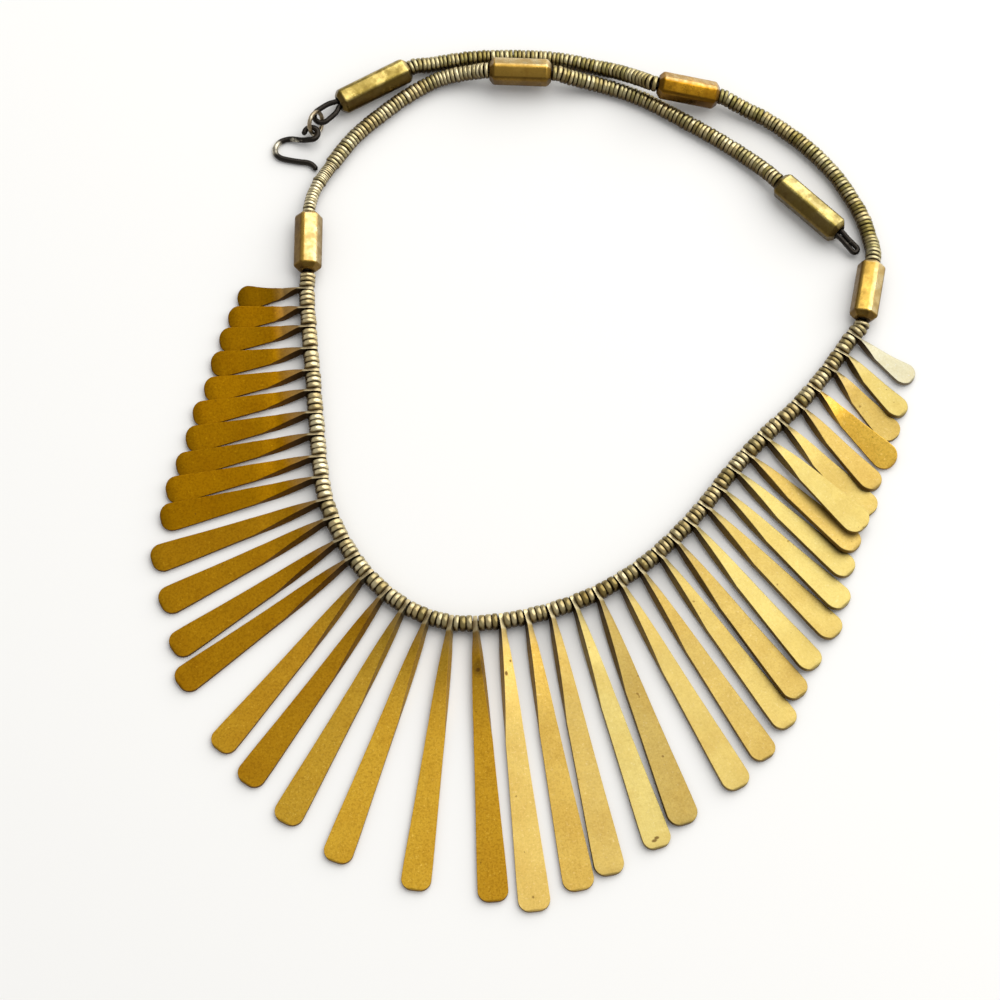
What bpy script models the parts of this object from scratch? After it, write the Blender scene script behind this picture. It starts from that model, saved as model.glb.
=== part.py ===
"""A bib necklace lying open on a table: a fringe of forged brass paddles, each drilled at its narrow end and
strung between little brass discs, two neck strings of the same discs with six hexagonal tube beads, and a
hook on a jump ring that closes on a wire loop. Metres, +Z up, the fringe towards -Y."""

import math

import bmesh
import bpy
from mathutils import Matrix, Vector

MM = 0.001

# Sizes that can be set one by one.
CLEARANCE = 0.3 * MM
THREAD_DIAMETER = 1.0 * MM
DISC_DIAMETER = 3.2 * MM
SMALL_DISC_DIAMETER = 2.6 * MM
SMALL_DISC_RUN = 11.0 * MM
FIRST_RUN = 3.4 * MM
LAST_RUN = 3.5 * MM

PADDLE_LENGTH = 55.6 * MM
BLADE_WIDTH = 5.9 * MM
BLADE_THICKNESS = 0.9 * MM
EYE_WIDTH = 1.0 * MM
EYE_BACK = 1.35 * MM
EYE_SINK = 0.2 * MM

TUBE_FLATS = 5.1 * MM
TUBE_LENGTH = 12.4 * MM
END_TUBE_LENGTH = 15.9 * MM
TUBE_CHAMFER = 0.95 * MM
TUBE_EDGE = 0.25 * MM
LOOP_TUCK = 3.5 * MM

LOOP_WIRE = 1.1 * MM
CATCH_LOOP_REACH = 4.2 * MM
CATCH_LOOP_EYE = 2.35 * MM
RING_LOOP_REACH = 4.35 * MM
RING_LOOP_EYE = 4.1 * MM
RING_WIRE = 0.85 * MM
RING_DIAMETER = 5.25 * MM
HOOK_WIRE = 1.15 * MM
HOOK_EYE = 3.85 * MM

# Sides of the round work.
STRING_SIDES = 3
WIRE_SIDES = 1
BORE_SIDES = 8

# What follows from them.
STRING_HEIGHT = DISC_DIAMETER / 2
EYE_DEPTH = DISC_DIAMETER - 2 * EYE_SINK
BORE_DIAMETER = THREAD_DIAMETER + 2 * CLEARANCE
END_BORE_DIAMETER = 2 * LOOP_WIRE + 2.4 * CLEARANCE
SLOT = EYE_WIDTH + 1.7 * CLEARANCE
EYE_REACH = DISC_DIAMETER / 2 + CLEARANCE

# The route of the bib string: x, y in millimetres, from the left tube bead down round the front and up to
# the right one.
BIB_ROUTE = [
    (-37.6, 43.0), (-37.0, 35.0), (-36.1, 25.8), (-35.2, 16.0), (-34.2, 6.0), (-32.9, -1.0),
    (-29.7, -8.7), (-24.8, -15.9), (-17.8, -22.0), (-9.2, -25.3), (0.2, -25.0), (9.2, -23.0),
    (18.0, -19.5), (26.0, -14.5), (32.6, -8.6), (38.5, -2.0), (44.0, 5.2), (50.2, 12.2),
    (57.0, 18.8), (63.1, 26.2), (68.0, 33.3),
]

# The routes of the neck strings between their tube beads: x, y and height of the centre in millimetres.
LEFT_LOWER_ROUTE = [
    (-36.8, 64.3, 1.8), (-35.7, 66.9, 1.65), (-34.5, 68.9, 1.65), (-33.1, 71.1, 1.65), (-29.1, 76.8, 1.65),
    (-24.2, 81.6, 1.65), (-18.8, 86.1, 1.65), (-13.2, 89.5, 1.9), (-8.0, 90.8, 2.6), (-4.5, 90.9, 3.4),
]
LEFT_UPPER_ROUTE = [
    (14.0, 89.6, 3.4), (20.0, 88.7, 1.8), (24.0, 87.5, 1.65), (28.0, 85.8, 1.65), (31.2, 84.1, 1.65),
    (38.6, 79.5, 1.65), (43.7, 76.2, 1.65), (48.7, 72.5, 1.8), (52.0, 69.6, 2.2),
]
RIGHT_LOWER_ROUTE = [
    (72.9, 52.2, 2.0), (72.4, 54.6, 1.65), (71.2, 59.1, 1.65), (68.7, 64.3, 1.65), (65.3, 69.7, 1.65),
    (59.7, 75.8, 1.65), (53.2, 80.8, 1.8), (49.0, 83.0, 2.1),
]
RIGHT_UPPER_ROUTE = [
    (28.0, 88.8, 4.3), (24.0, 90.9, 3.0), (20.1, 92.5, 2.0), (12.0, 94.5, 1.65), (4.0, 95.1, 1.65),
    (-4.0, 95.0, 1.65), (-9.5, 94.3, 1.65), (-14.0, 93.3, 1.9),
]

# The tube beads: where the middle lies in millimetres, the way the string runs through in degrees from +X,
# its climb, and the turn of the flats about it.
TUBES = {
    #                      x      y      z     heading  climb  turn
    "tube_left": (-37.5, 53.3, 2.70, 90.0, 0.0, 8.0),
    "tube_back": (4.1, 90.4, 4.20, -2.3, 0.0, 30.0),
    "tube_left_end": (60.7, 60.8, 2.82, -44.6, 0.0, -22.0),
    "tube_right": (71.4, 42.7, 2.73, 78.9, 0.0, -10.0),
    "tube_right_back": (37.4, 86.2, 4.30, 173.0, 10.2, -26.0),
    "tube_right_end": (-25.2, 88.1, 2.55, -150.4, 0.0, 0.0),
}

# The fringe, from the left tube bead round to the right one. Each row: the room from the paddle before as a
# share of the even spacing, the turn from straight out in degrees, the length as a share of PADDLE_LENGTH,
# the width as a share of BLADE_WIDTH, the roll as a share of the shingle's roll (over the one before when
# positive), and the rise of the blade as a share of BLADE_THICKNESS.
PADDLES = [
    # room  turn  length  width  roll  rise
    (0.00, 7, 0.245, 0.83, 0.8, 0),
    (0.90, 3.5, 0.280, 0.82, 1.2, 0),
    (0.89, 4, 0.315, 0.83, 1.1, 0),
    (1.03, 3.5, 0.350, 0.85, 1, 0),
    (1.03, 5, 0.380, 0.84, 0.9, 0),
    (0.93, 6.5, 0.425, 0.84, 1, 0),
    (1.02, 7, 0.455, 0.88, 0.9, 0),
    (1.01, 8, 0.495, 0.85, 1, 0),
    (1.01, 7, 0.535, 0.89, 1, 0),
    (0.95, 7, 0.565, 0.90, 0.95, 0),
    (1.02, 3.5, 0.625, 0.90, 0.5, 0),
    (0.86, 6, 0.650, 0.92, 0.3, 0),
    (1.03, 6, 0.685, 0.90, 0.2, 0),
    (0.92, 4, 0.730, 0.92, 0.1, 0),
    (0.98, 9.5, 0.780, 0.88, 0.0, 0),
    (1.09, 6.5, 0.805, 0.92, 0.0, 0),
    (1.00, 3, 0.845, 0.94, 0.0, 0),
    (1.04, 1, 0.895, 0.93, 0.0, 0),
    (0.96, 2, 0.925, 0.93, 0.0, 0),
    (1.01, 0.5, 0.955, 0.95, 0.0, 0),
    (1.05, -1, 1.000, 0.99, 0.0, 0),
    (1.05, -2.5, 0.955, 0.98, 0.0, 0),
    (0.98, -5, 0.930, 0.94, 0.3, 0),
    (1.04, -3.5, 0.890, 0.90, 0.3, 0),
    (1.02, -7, 0.850, 0.99, 0.6, 0),
    (1.07, -3.5, 0.820, 0.92, 0.4, 0),
    (1.00, -4.5, 0.785, 0.88, 0.5, 0),
    (1.02, -7, 0.745, 0.89, 0.7, 0),
    (0.90, -8, 0.695, 0.92, 0.9, 0),
    (1.02, -9.5, 0.660, 0.88, 0.9, 0),
    (0.97, -7, 0.635, 0.95, 0.9, 0),
    (1.01, -8.5, 0.595, 0.93, 0.9, 0),
    (1.04, -4, 0.540, 0.90, 0.9, 0),
    (0.94, -1.5, 0.500, 0.94, 1.2, 0),
    (1.07, -1.5, 0.475, 0.94, 0.1, 1.8),
    (1.01, 0.5, 0.450, 0.85, 0, 0),
    (1.06, -6, 0.400, 0.87, 1.2, 0),
    (1.04, -7, 0.385, 0.87, -1.0, 0),
    (1.13, -11.5, 0.335, 0.83, 0.0, 0),
    (0.90, -13, 0.310, 0.82, 1.1, 0),
    (1.01, 2, 0.260, 0.78, 0.6, 0),
]
TURNED_LAST = 20

# How a paddle changes from its eye to where its tip begins to round: the place as a share of that run, then
# shares of the way from the eye's width to the blade's, and from the blade's thickness to the eye's depth,
# how square the section is (0 stands on its edge), the share of the roll, and the underside's height.
FORM = [
    # at   width  depth  square  roll  under
    (0.00, 0.08, 0.96, 0.30, 0.0, 1.0),
    (0.08, 0.23, 0.80, 0.36, 0.1, 0.85),
    (0.18, 0.36, 0.58, 0.50, 0.3, 0.65),
    (0.30, 0.47, 0.34, 0.72, 0.6, 0.35),
    (0.42, 0.55, 0.14, 1.00, 0.9, 0.1),
    (0.72, 0.78, 0.00, 1.00, 1.0, 0.0),
    (1.00, 1.00, 0.00, 1.00, 1.0, 0.0),
]
TIP_ANGLES = (18, 36, 54, 72, 90)

# The first and the last paddle are slimmer on the way to the tip: the power that their width follows.
SLIMMER = {1: 1.6, 41: 1.4}

# The jump ring: its middle in millimetres, the way from the hook's eye to the wire loop in degrees from +X,
# and how far it leans out of level about that line.
RING_PLACE = (-4.49, -4.42, -0.05)
RING_HEADING = 67.0
RING_LEAN = 67.0

# The hook: the middle of its eye in millimetres, where its wire ends in the eye and leaves it in degrees,
# and the wire's route from there, with x and y from the eye's middle and the height of the wire's centre.
HOOK_PLACE = (-5.39, -6.57, -0.35)
HOOK_EYE_TURN = (195.0, -90.0)
HOOK_ROUTE = [
    (-1.8, -1.0, 1.3), (-3.9, -0.45, 0.7), (-5.5, -0.7, 0.58), (-6.6, -1.4, 0.58), (-7.15, -2.5, 0.58),
    (-7.0, -3.7, 0.58), (-6.1, -4.6, 0.58), (-4.4, -5.1, 0.58), (-2.2, -5.5, 0.58), (-0.7, -5.7, 0.58),
    (0.3, -6.2, 0.58), (1.2, -7.3, 0.58),
]

BRASS = (0.62, 0.43, 0.14)
PALE_BRASS = (0.78, 0.66, 0.40)
DARK_WIRE = (0.05, 0.045, 0.035)
SILVERED = (0.70, 0.66, 0.55)


def clear_scene():
    for item in list(bpy.data.objects):
        bpy.data.objects.remove(item, do_unlink=True)


def new_material(name, colour, roughness):
    material = bpy.data.materials.new(name)
    material.use_nodes = True
    shader = material.node_tree.nodes["Principled BSDF"]
    shader.inputs["Base Color"].default_value = (*colour, 1.0)
    shader.inputs["Roughness"].default_value = roughness
    shader.inputs["Metallic"].default_value = 1.0
    return material


def add_object(name, data, collection, root, colour, roughness):
    item = bpy.data.objects.new(name, data)
    collection.objects.link(item)
    item.parent = root
    data.materials.append(new_material(name, colour, roughness))
    return item


def smooth_path(points, step):
    """Points every step or so along a smooth curve through the given ones, both ends kept."""
    knots = [Vector(p) for p in points]
    knots = [2 * knots[0] - knots[1], *knots, 2 * knots[-1] - knots[-2]]
    path = [knots[1]]
    for a, b, c, d in zip(knots, knots[1:], knots[2:], knots[3:]):
        parts = max(1, round((c - b).length / step))
        for k in range(1, parts + 1):
            t = k / parts
            path.append(0.5 * (2 * b + (c - a) * t + (2 * a - 5 * b + 4 * c - d) * t**2
                               + (3 * b - a - 3 * c + d) * t**3))
    return path


def lengths_along(path):
    total = [0.0]
    for a, b in zip(path, path[1:]):
        total.append(total[-1] + (b - a).length)
    return total


def point_at(path, total, distance):
    """The place at a distance along a path, and the path's direction there, eased from point to point."""
    for k in range(1, len(path)):
        if distance <= total[k] or k == len(path) - 1:
            share = (distance - total[k - 1]) / (total[k] - total[k - 1])
            before = path[k] - path[max(k - 2, 0)]
            after = path[min(k + 1, len(path) - 1)] - path[k - 1]
            way = before.normalized().lerp(after.normalized(), share)
            return path[k - 1].lerp(path[k], share), way.normalized()


def wire_object(name, points, diameter, sides, collection, root, colour, roughness, closed=False):
    """A round wire through (place, radius share) points."""
    curve = bpy.data.curves.new(name, "CURVE")
    curve.dimensions = "3D"
    curve.bevel_depth = diameter / 2
    curve.bevel_resolution = sides
    curve.use_fill_caps = not closed
    spline = curve.splines.new("POLY")
    spline.points.add(len(points) - 1)
    spline.use_cyclic_u = closed
    for slot, (place, share) in zip(spline.points, points):
        slot.co = (*place, 1.0)
        slot.radius = share
    return add_object(name, curve, collection, root, colour, roughness)


def tube_frame(name):
    x, y, z, heading, climb, turn = TUBES[name]
    length = END_TUBE_LENGTH if name.endswith("_end") else TUBE_LENGTH
    heading, climb = math.radians(heading), math.radians(climb)
    way = Vector((math.cos(heading) * math.cos(climb), math.sin(heading) * math.cos(climb), math.sin(climb)))
    return Vector((x, y, z)) * MM, way, length, math.radians(turn)


def from_mouth(offset):
    """A place in millimetres from the mouth of the tube bead that the jump ring hangs from."""
    place, way, length, _ = tube_frame("tube_right_end")
    return place + way * (length / 2) + Vector(offset) * MM


def tube_bead(name, collection, cutters, root):
    """A six-sided tube bead with worn edges and chamfered ends, bored for the string."""
    place, way, length, turn = tube_frame(name)
    bore = END_BORE_DIAMETER if name.endswith("_end") else BORE_DIAMETER
    mesh = bpy.data.meshes.new(name)
    shape = bmesh.new()
    bmesh.ops.create_cone(shape, cap_ends=True, segments=6, depth=length,
                          radius1=TUBE_FLATS / math.sqrt(3), radius2=TUBE_FLATS / math.sqrt(3))
    ends = [edge for edge in shape.edges if edge.verts[0].co.z * edge.verts[1].co.z > 0]
    bmesh.ops.bevel(shape, geom=ends, offset=TUBE_CHAMFER, segments=1, affect="EDGES", profile=0.5)
    half = length / 2 - 1.01 * TUBE_CHAMFER
    sides = [edge for edge in shape.edges
             if abs(edge.verts[0].co.z - edge.verts[1].co.z) > half
             and abs(edge.verts[0].co.z) < half + 0.02 * TUBE_CHAMFER]
    bmesh.ops.bevel(shape, geom=sides, offset=TUBE_EDGE, segments=1, affect="EDGES", profile=0.5)
    bmesh.ops.recalc_face_normals(shape, faces=shape.faces)
    shape.to_mesh(mesh)
    shape.free()
    bead = add_object(name, mesh, collection, root, BRASS, 0.3)
    side = Vector((0, 0, 1)).cross(way).normalized()
    up = way.cross(side)
    frame = Matrix((side, up, way)).transposed().to_4x4()
    frame = Matrix.Translation(place) @ frame @ Matrix.Rotation(turn + math.pi / 6, 4, "Z")
    bead.matrix_local = frame
    cut_bore(bead, bore, 2 * length, 12, frame, cutters, root)


def cut_bore(item, diameter, length, sides, frame, cutters, root):
    """Drills an item along the Z axis of a frame."""
    mesh = bpy.data.meshes.new(item.name + "_bore")
    shape = bmesh.new()
    radius = diameter / 2 / math.cos(math.pi / sides)
    bmesh.ops.create_cone(shape, cap_ends=True, segments=sides, radius1=radius, radius2=radius, depth=length)
    shape.to_mesh(mesh)
    shape.free()
    cutter = bpy.data.objects.new(item.name + "_bore", mesh)
    cutters.objects.link(cutter)
    cutter.parent = root
    cutter.matrix_local = frame
    cutter.hide_render = True
    cutter.display_type = "WIRE"
    boolean = item.modifiers.new("bore", "BOOLEAN")
    boolean.operation = "DIFFERENCE"
    boolean.solver = "EXACT"
    boolean.object = cutter


def string_stations():
    """The bib string's path, with how far along it each paddle's eye sits and the even spacing."""
    left, left_way, left_length, _ = tube_frame("tube_left")
    right, right_way, right_length, _ = tube_frame("tube_right")
    start = left - left_way * (left_length / 2 + CLEARANCE)
    end = right - right_way * (right_length / 2 + CLEARANCE)
    start.z = end.z = STRING_HEIGHT
    knots = [start, start - left_way * DISC_DIAMETER / 3]
    knots += [Vector((x * MM, y * MM, STRING_HEIGHT)) for x, y in BIB_ROUTE]
    knots += [end - right_way * DISC_DIAMETER / 3, end]
    path = smooth_path(knots, DISC_DIAMETER / 4)
    total = lengths_along(path)
    even = (total[-1] - FIRST_RUN - LAST_RUN) / sum(row[0] for row in PADDLES)
    stations = []
    distance = FIRST_RUN
    for row in PADDLES:
        distance += row[0] * even
        stations.append(distance)
    return path, total, stations, even


def bib_string(collection, root):
    """The discs of the bib as one rod, turned down to the thread where it passes through each eye."""
    path, total, stations, _ = string_stations()
    thin = THREAD_DIAMETER / DISC_DIAMETER
    step = CLEARANCE / 6
    points = [(path[0], 1.0), (point_at(path, total, DISC_DIAMETER / 3)[0], 1.0)]
    for station in stations:
        for offset, share in ((-SLOT / 2 - step, 1.0), (-SLOT / 2, thin), (SLOT / 2, thin), (SLOT / 2 + step, 1.0)):
            points.append((point_at(path, total, station + offset)[0], share))
    points.append((point_at(path, total, total[-1] - DISC_DIAMETER / 3)[0], 1.0))
    points.append((path[-1], 1.0))
    wire_object("bib_string", points, DISC_DIAMETER, STRING_SIDES, collection, root, PALE_BRASS, 0.35)


def neck_string(name, beads, spans, small_run, collection, root):
    """A neck string: discs between the tube beads and bare thread inside them."""
    thin = THREAD_DIAMETER / DISC_DIAMETER
    small = SMALL_DISC_DIAMETER / DISC_DIAMETER
    step = CLEARANCE / 6
    place, way, length, _ = tube_frame(beads[0])
    points = [(place - way * (length / 2 - CLEARANCE), thin)]
    for first, second, route in zip(beads, beads[1:], spans):
        place, way, length, _ = tube_frame(first)
        start = place + way * (length / 2 + CLEARANCE)
        place, next_way, length, _ = tube_frame(second)
        end = place - next_way * (length / 2 + CLEARANCE)
        knots = [start, start + way * DISC_DIAMETER / 3, *(Vector(p) * MM for p in route)]
        knots += [end - next_way * DISC_DIAMETER / 3, end]
        path = smooth_path(knots, 1.5 * DISC_DIAMETER)
        total = lengths_along(path)
        change = small_run if first == beads[0] else 0.0
        points.append((start - way * step, thin))
        if change:
            points.append((start, small))
            points += [(p, small) for p, at in zip(path, total) if 0 < at < change - DISC_DIAMETER / 3]
            points.append((point_at(path, total, change)[0], small))
            points.append((point_at(path, total, change + step)[0], 1.0))
        else:
            points.append((start, 1.0))
        points += [(p, 1.0) for p, at in zip(path, total) if max(change + DISC_DIAMETER / 3, step) < at < total[-1] - step]
        points += [(end, 1.0), (end + next_way * step, thin)]
    place, way, length, _ = tube_frame(beads[-1])
    points.append((place + way * (length / 2 - LOOP_TUCK - 2 * CLEARANCE), thin))
    wire_object(name, points, DISC_DIAMETER, STRING_SIDES, collection, root, PALE_BRASS, 0.35)


def wire_loop(name, bead, reach, eye, swing, tilt, drop, collection, root):
    """A doubled wire out of an end tube bead that opens into an eye."""
    place, way, length, _ = tube_frame(bead)
    mouth = place + way * (length / 2)
    side = Vector((0, 0, 1)).cross(way).normalized()
    tilted = (Matrix.Rotation(math.radians(tilt), 3, way) @ side).normalized()
    legs = LOOP_WIRE / 2 + CLEARANCE / 4
    radius = max((eye - LOOP_WIRE) / 2, legs)
    middle = mouth + Matrix.Rotation(math.radians(swing), 3, "Z") @ way * reach - Vector((0, 0, drop))
    out = (middle - mouth).normalized()
    tilted = (tilted - out * tilted.dot(out)).normalized()
    left = [mouth - way * LOOP_TUCK - side * legs, mouth - side * legs]
    right = [mouth - way * LOOP_TUCK + side * legs, mouth + side * legs]
    turns = 10
    sweep = math.pi
    swell = (middle - mouth) * 0.4 + mouth
    arc = [swell - tilted * radius * 0.85]
    for k in range(turns + 1):
        angle = -sweep / 2 + sweep * k / turns
        arc.append(middle + out * radius * math.cos(angle) + tilted * radius * math.sin(angle))
    arc.append(swell + tilted * radius * 0.85)
    points = [(p, 1.0) for p in [*left, *arc, *reversed(right)]]
    wire_object(name, points, LOOP_WIRE, WIRE_SIDES, collection, root, DARK_WIRE, 0.4)


def jump_ring(collection, root):
    """A round ring through the wire loop and the hook's eye, leaning on the line between them."""
    bpy.ops.mesh.primitive_torus_add(major_segments=18, minor_segments=6,
                                     major_radius=(RING_DIAMETER - RING_WIRE) / 2, minor_radius=RING_WIRE / 2)
    ring = bpy.context.object
    ring.name = ring.data.name = "jump_ring"
    for owner in list(ring.users_collection):
        owner.objects.unlink(ring)
    collection.objects.link(ring)
    ring.parent = root
    lean = Matrix.Rotation(math.radians(RING_HEADING), 4, "Z") @ Matrix.Rotation(math.radians(RING_LEAN), 4, "X")
    ring.matrix_local = Matrix.Translation(from_mouth(RING_PLACE)) @ lean
    ring.data.materials.append(new_material("jump_ring", SILVERED, 0.25))


def hook(collection, root):
    """The hook: an eye bent at the end of the wire, then a long open bend with a turned out tip."""
    middle = from_mouth(HOOK_PLACE)
    radius = (HOOK_EYE - HOOK_WIRE) / 2
    first, last = HOOK_EYE_TURN
    eye = []
    for k in range(11):
        angle = math.radians(first + (last - first) * k / 10)
        eye.append(middle + Vector((radius * math.cos(angle), radius * math.sin(angle), 0)))
    route = [Vector((middle.x + x * MM, middle.y + y * MM, z * MM)) for x, y, z in HOOK_ROUTE]
    path = smooth_path([eye[-2], eye[-1], *route], 1.1 * HOOK_WIRE)
    start = max(k for k, p in enumerate(path) if (p - eye[-1]).length < HOOK_WIRE / 100)
    points = [(p, 1.0) for p in [*eye, *path[start + 1:]]]
    wire_object("hook", points, HOOK_WIRE, WIRE_SIDES, collection, root, DARK_WIRE, 0.4)


def paddle_sections(number, row):
    """Where each section stands along the paddle and its width, depth, squareness, roll and underside."""
    _, _, length, width, _, _ = row
    slim = SLIMMER.get(number, 1.0)
    length, width = length * PADDLE_LENGTH, width * BLADE_WIDTH
    corner = width * (0.50 - 0.13 * row[2])
    run = length - corner - EYE_REACH
    yield -EYE_BACK, 0.8 * EYE_WIDTH, 0.5 * EYE_DEPTH, 0.7, 0.0, None
    yield -0.55 * EYE_BACK, EYE_WIDTH, 0.95 * EYE_DEPTH, 0.7, 0.0, None
    for at, wider, deeper, square, roll, under in FORM:
        wide = EYE_WIDTH + wider**slim * (width - EYE_WIDTH)
        deep = BLADE_THICKNESS + deeper * (EYE_DEPTH - BLADE_THICKNESS)
        yield EYE_REACH + at * run, wide, deep, square, roll, under
    for angle in TIP_ANGLES:
        angle = math.radians(angle)
        wide = width - 2 * corner * (1 - math.cos(angle))
        yield length - corner + corner * math.sin(angle), wide, BLADE_THICKNESS, 1.0, 1.0, 0.0


def paddle(number, row, place, way, even, collection, cutters, root):
    """One forged paddle: a drilled eye, a four-sided shank and a flat blade with a rounded tip."""
    _, turn, length, _, roll, rise = row
    outward = Vector((way.y, -way.x, 0)).normalized()
    heading = Matrix.Rotation(math.radians(turn), 3, "Z") @ outward
    bend = outward * EYE_REACH
    onward = heading * (length * PADDLE_LENGTH) - bend
    roll_angle = roll * math.asin(min((BLADE_THICKNESS + CLEARANCE) / even, 0.6))
    edge = -1.0 if number <= TURNED_LAST else 1.0
    reach = length * PADDLE_LENGTH - EYE_REACH
    name = f"paddle_{number:02d}"
    mesh = bpy.data.meshes.new(name)
    shape = bmesh.new()
    rings = []
    for at, wide, deep, square, rolled, under in paddle_sections(number, row):
        straight = at <= EYE_REACH
        axis = outward if straight else onward.normalized()
        side = Vector((axis.y, -axis.x, 0))
        if straight:
            centre = outward * at
        else:
            centre = bend + onward * ((at - EYE_REACH) / reach)
        half, tall = wide / 2, deep / 2
        corners = [(edge * half * square, tall), (-edge * half, square * tall),
                   (-edge * half * square, -tall), (edge * half, -square * tall)]
        if edge < 0:
            corners.reverse()
        spin = roll_angle * rolled
        turned = [(x * math.cos(spin) - z * math.sin(spin), x * math.sin(spin) + z * math.cos(spin))
                  for x, z in corners]
        if under is None:
            height = STRING_HEIGHT
        else:
            low = under * EYE_SINK + (1 - under) * rise * BLADE_THICKNESS
            height = low - min(z for _, z in turned)
        rings.append([shape.verts.new(centre + side * x + Vector((0, 0, height - STRING_HEIGHT + z)))
                      for x, z in turned])
    for first, second in zip(rings, rings[1:]):
        for k in range(4):
            shape.faces.new((first[k], first[(k + 1) % 4], second[(k + 1) % 4], second[k]))
    shape.faces.new(reversed(rings[0]))
    shape.faces.new(rings[-1])
    bmesh.ops.recalc_face_normals(shape, faces=shape.faces)
    shape.to_mesh(mesh)
    shape.free()
    item = add_object(name, mesh, collection, root, BRASS, 0.35)
    item.matrix_local = Matrix.Translation(place)
    side = Vector((outward.y, -outward.x, 0))
    frame = Matrix((outward, Vector((0, 0, 1)), side)).transposed().to_4x4()
    cut_bore(item, BORE_DIAMETER, 4 * EYE_WIDTH, BORE_SIDES, Matrix.Translation(place) @ frame, cutters, root)


def centre_on_floor(root):
    """Puts the middle of the whole necklace's box at the origin, with its lowest point on the floor."""
    bpy.context.view_layer.update()
    graph = bpy.context.evaluated_depsgraph_get()
    low, high = Vector((1, 1, 1)), Vector((-1, -1, -1))
    for item in root.children:
        if item.hide_render:
            continue
        solid = item.evaluated_get(graph)
        mesh = solid.to_mesh()
        for vertex in mesh.vertices:
            place = item.matrix_world @ vertex.co
            for k in range(3):
                low[k] = min(low[k], place[k])
                high[k] = max(high[k], place[k])
        solid.to_mesh_clear()
    root.location -= Vector(((low.x + high.x) / 2, (low.y + high.y) / 2, low.z))


def main():
    clear_scene()
    parts = bpy.data.collections.new("bib_necklace")
    cutters = bpy.data.collections.new("cutters")
    bpy.context.scene.collection.children.link(parts)
    bpy.context.scene.collection.children.link(cutters)
    root = bpy.data.objects.new("necklace_middle", None)
    parts.objects.link(root)

    bib_string(parts, root)
    path, total, stations, even = string_stations()
    for number, (row, station) in enumerate(zip(PADDLES, stations), start=1):
        place, way = point_at(path, total, station)
        paddle(number, row, place, way, even, parts, cutters, root)

    for name in TUBES:
        tube_bead(name, parts, cutters, root)
    neck_string("neck_string_left", ["tube_left", "tube_back", "tube_left_end"],
                [LEFT_LOWER_ROUTE, LEFT_UPPER_ROUTE], SMALL_DISC_RUN, parts, root)
    neck_string("neck_string_right", ["tube_right", "tube_right_back", "tube_right_end"],
                [RIGHT_LOWER_ROUTE, RIGHT_UPPER_ROUTE], 0.0, parts, root)

    wire_loop("catch_loop", "tube_left_end", CATCH_LOOP_REACH, CATCH_LOOP_EYE, 0.0, 0.0,
              1.2 * MM, parts, root)
    wire_loop("ring_loop", "tube_right_end", RING_LOOP_REACH, RING_LOOP_EYE, 10.0, 0.0,
              0.1 * MM, parts, root)
    jump_ring(parts, root)
    hook(parts, root)
    centre_on_floor(root)


main()
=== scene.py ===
import math
import random
from itertools import accumulate

import bmesh
import bpy
from bpy.props import FloatProperty, FloatVectorProperty, IntProperty, PointerProperty
from mathutils import Matrix, Vector


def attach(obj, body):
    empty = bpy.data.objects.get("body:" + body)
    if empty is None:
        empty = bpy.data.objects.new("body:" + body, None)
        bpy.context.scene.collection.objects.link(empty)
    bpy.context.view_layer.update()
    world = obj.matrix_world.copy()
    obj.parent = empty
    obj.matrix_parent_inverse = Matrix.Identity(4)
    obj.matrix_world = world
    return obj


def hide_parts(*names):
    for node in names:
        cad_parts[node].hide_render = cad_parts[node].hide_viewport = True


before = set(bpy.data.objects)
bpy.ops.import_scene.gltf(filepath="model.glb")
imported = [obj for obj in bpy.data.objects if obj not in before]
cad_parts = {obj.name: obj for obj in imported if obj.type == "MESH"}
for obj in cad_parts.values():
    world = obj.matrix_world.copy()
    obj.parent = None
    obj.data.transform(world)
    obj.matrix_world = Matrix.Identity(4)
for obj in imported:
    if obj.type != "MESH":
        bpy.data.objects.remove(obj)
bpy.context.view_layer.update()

bl_info = {
    "name": "Bib Necklace",
    "version": (1, 0, 0),
    "blender": (4, 5, 0),
    "location": "3D View > Sidebar > Necklace",
    "description": "A fringe of forged brass paddles on a string of turned discs, with tube beads and a hook",
    "category": "Add Mesh",
}

MM = 0.001

# The frame's origin is the middle of the whole necklace's box; the routes below are measured from this place.
ROUTES_FROM = Vector((-7.112, -8.196, 0.002)) * MM

# The room between solids, the string's run before the first eye and after the last one, how far an eye
# reaches back and how far below a disc's rim it stays, and how far a wire loop's ends are tucked in.
CLEARANCE = 0.3 * MM
FIRST_RUN = 3.4 * MM
LAST_RUN = 3.5 * MM
EYE_BACK = 1.35 * MM
EYE_SINK = 0.2 * MM
LOOP_TUCK = 3.5 * MM

# The blade's own map: how many millimetres one unit holds, and where on it the eye and the middle line lie.
BLADE_MAP = 60
MAP_START = 0.03
MAP_MIDDLE = 0.5

# How far a piece's seed shifts its patterns.
PATTERN_SHIFT = 37.0

# The key light: its turn from +X and its climb in degrees, how far off it stands and how wide it is.
KEY_HEADING = (45, 46)
KEY_DISTANCE = 0.9
KEY_SIZE = 1.4

# The route of the bib string from the left tube bead to the right one: x, y in millimetres.
BIB_ROUTE = [
    (-37.6, 43.0), (-37.0, 35.0), (-36.1, 25.8), (-35.2, 16.0), (-34.2, 6.0), (-32.9, -1.0),
    (-29.7, -8.7), (-24.8, -15.9), (-17.8, -22.0), (-9.2, -25.3), (0.2, -25.0), (9.2, -23.0),
    (18.0, -19.5), (26.0, -14.5), (32.6, -8.6), (38.5, -2.0), (44.0, 5.2), (50.2, 12.2),
    (57.0, 18.8), (63.1, 26.2), (68.0, 33.3),
]

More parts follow.
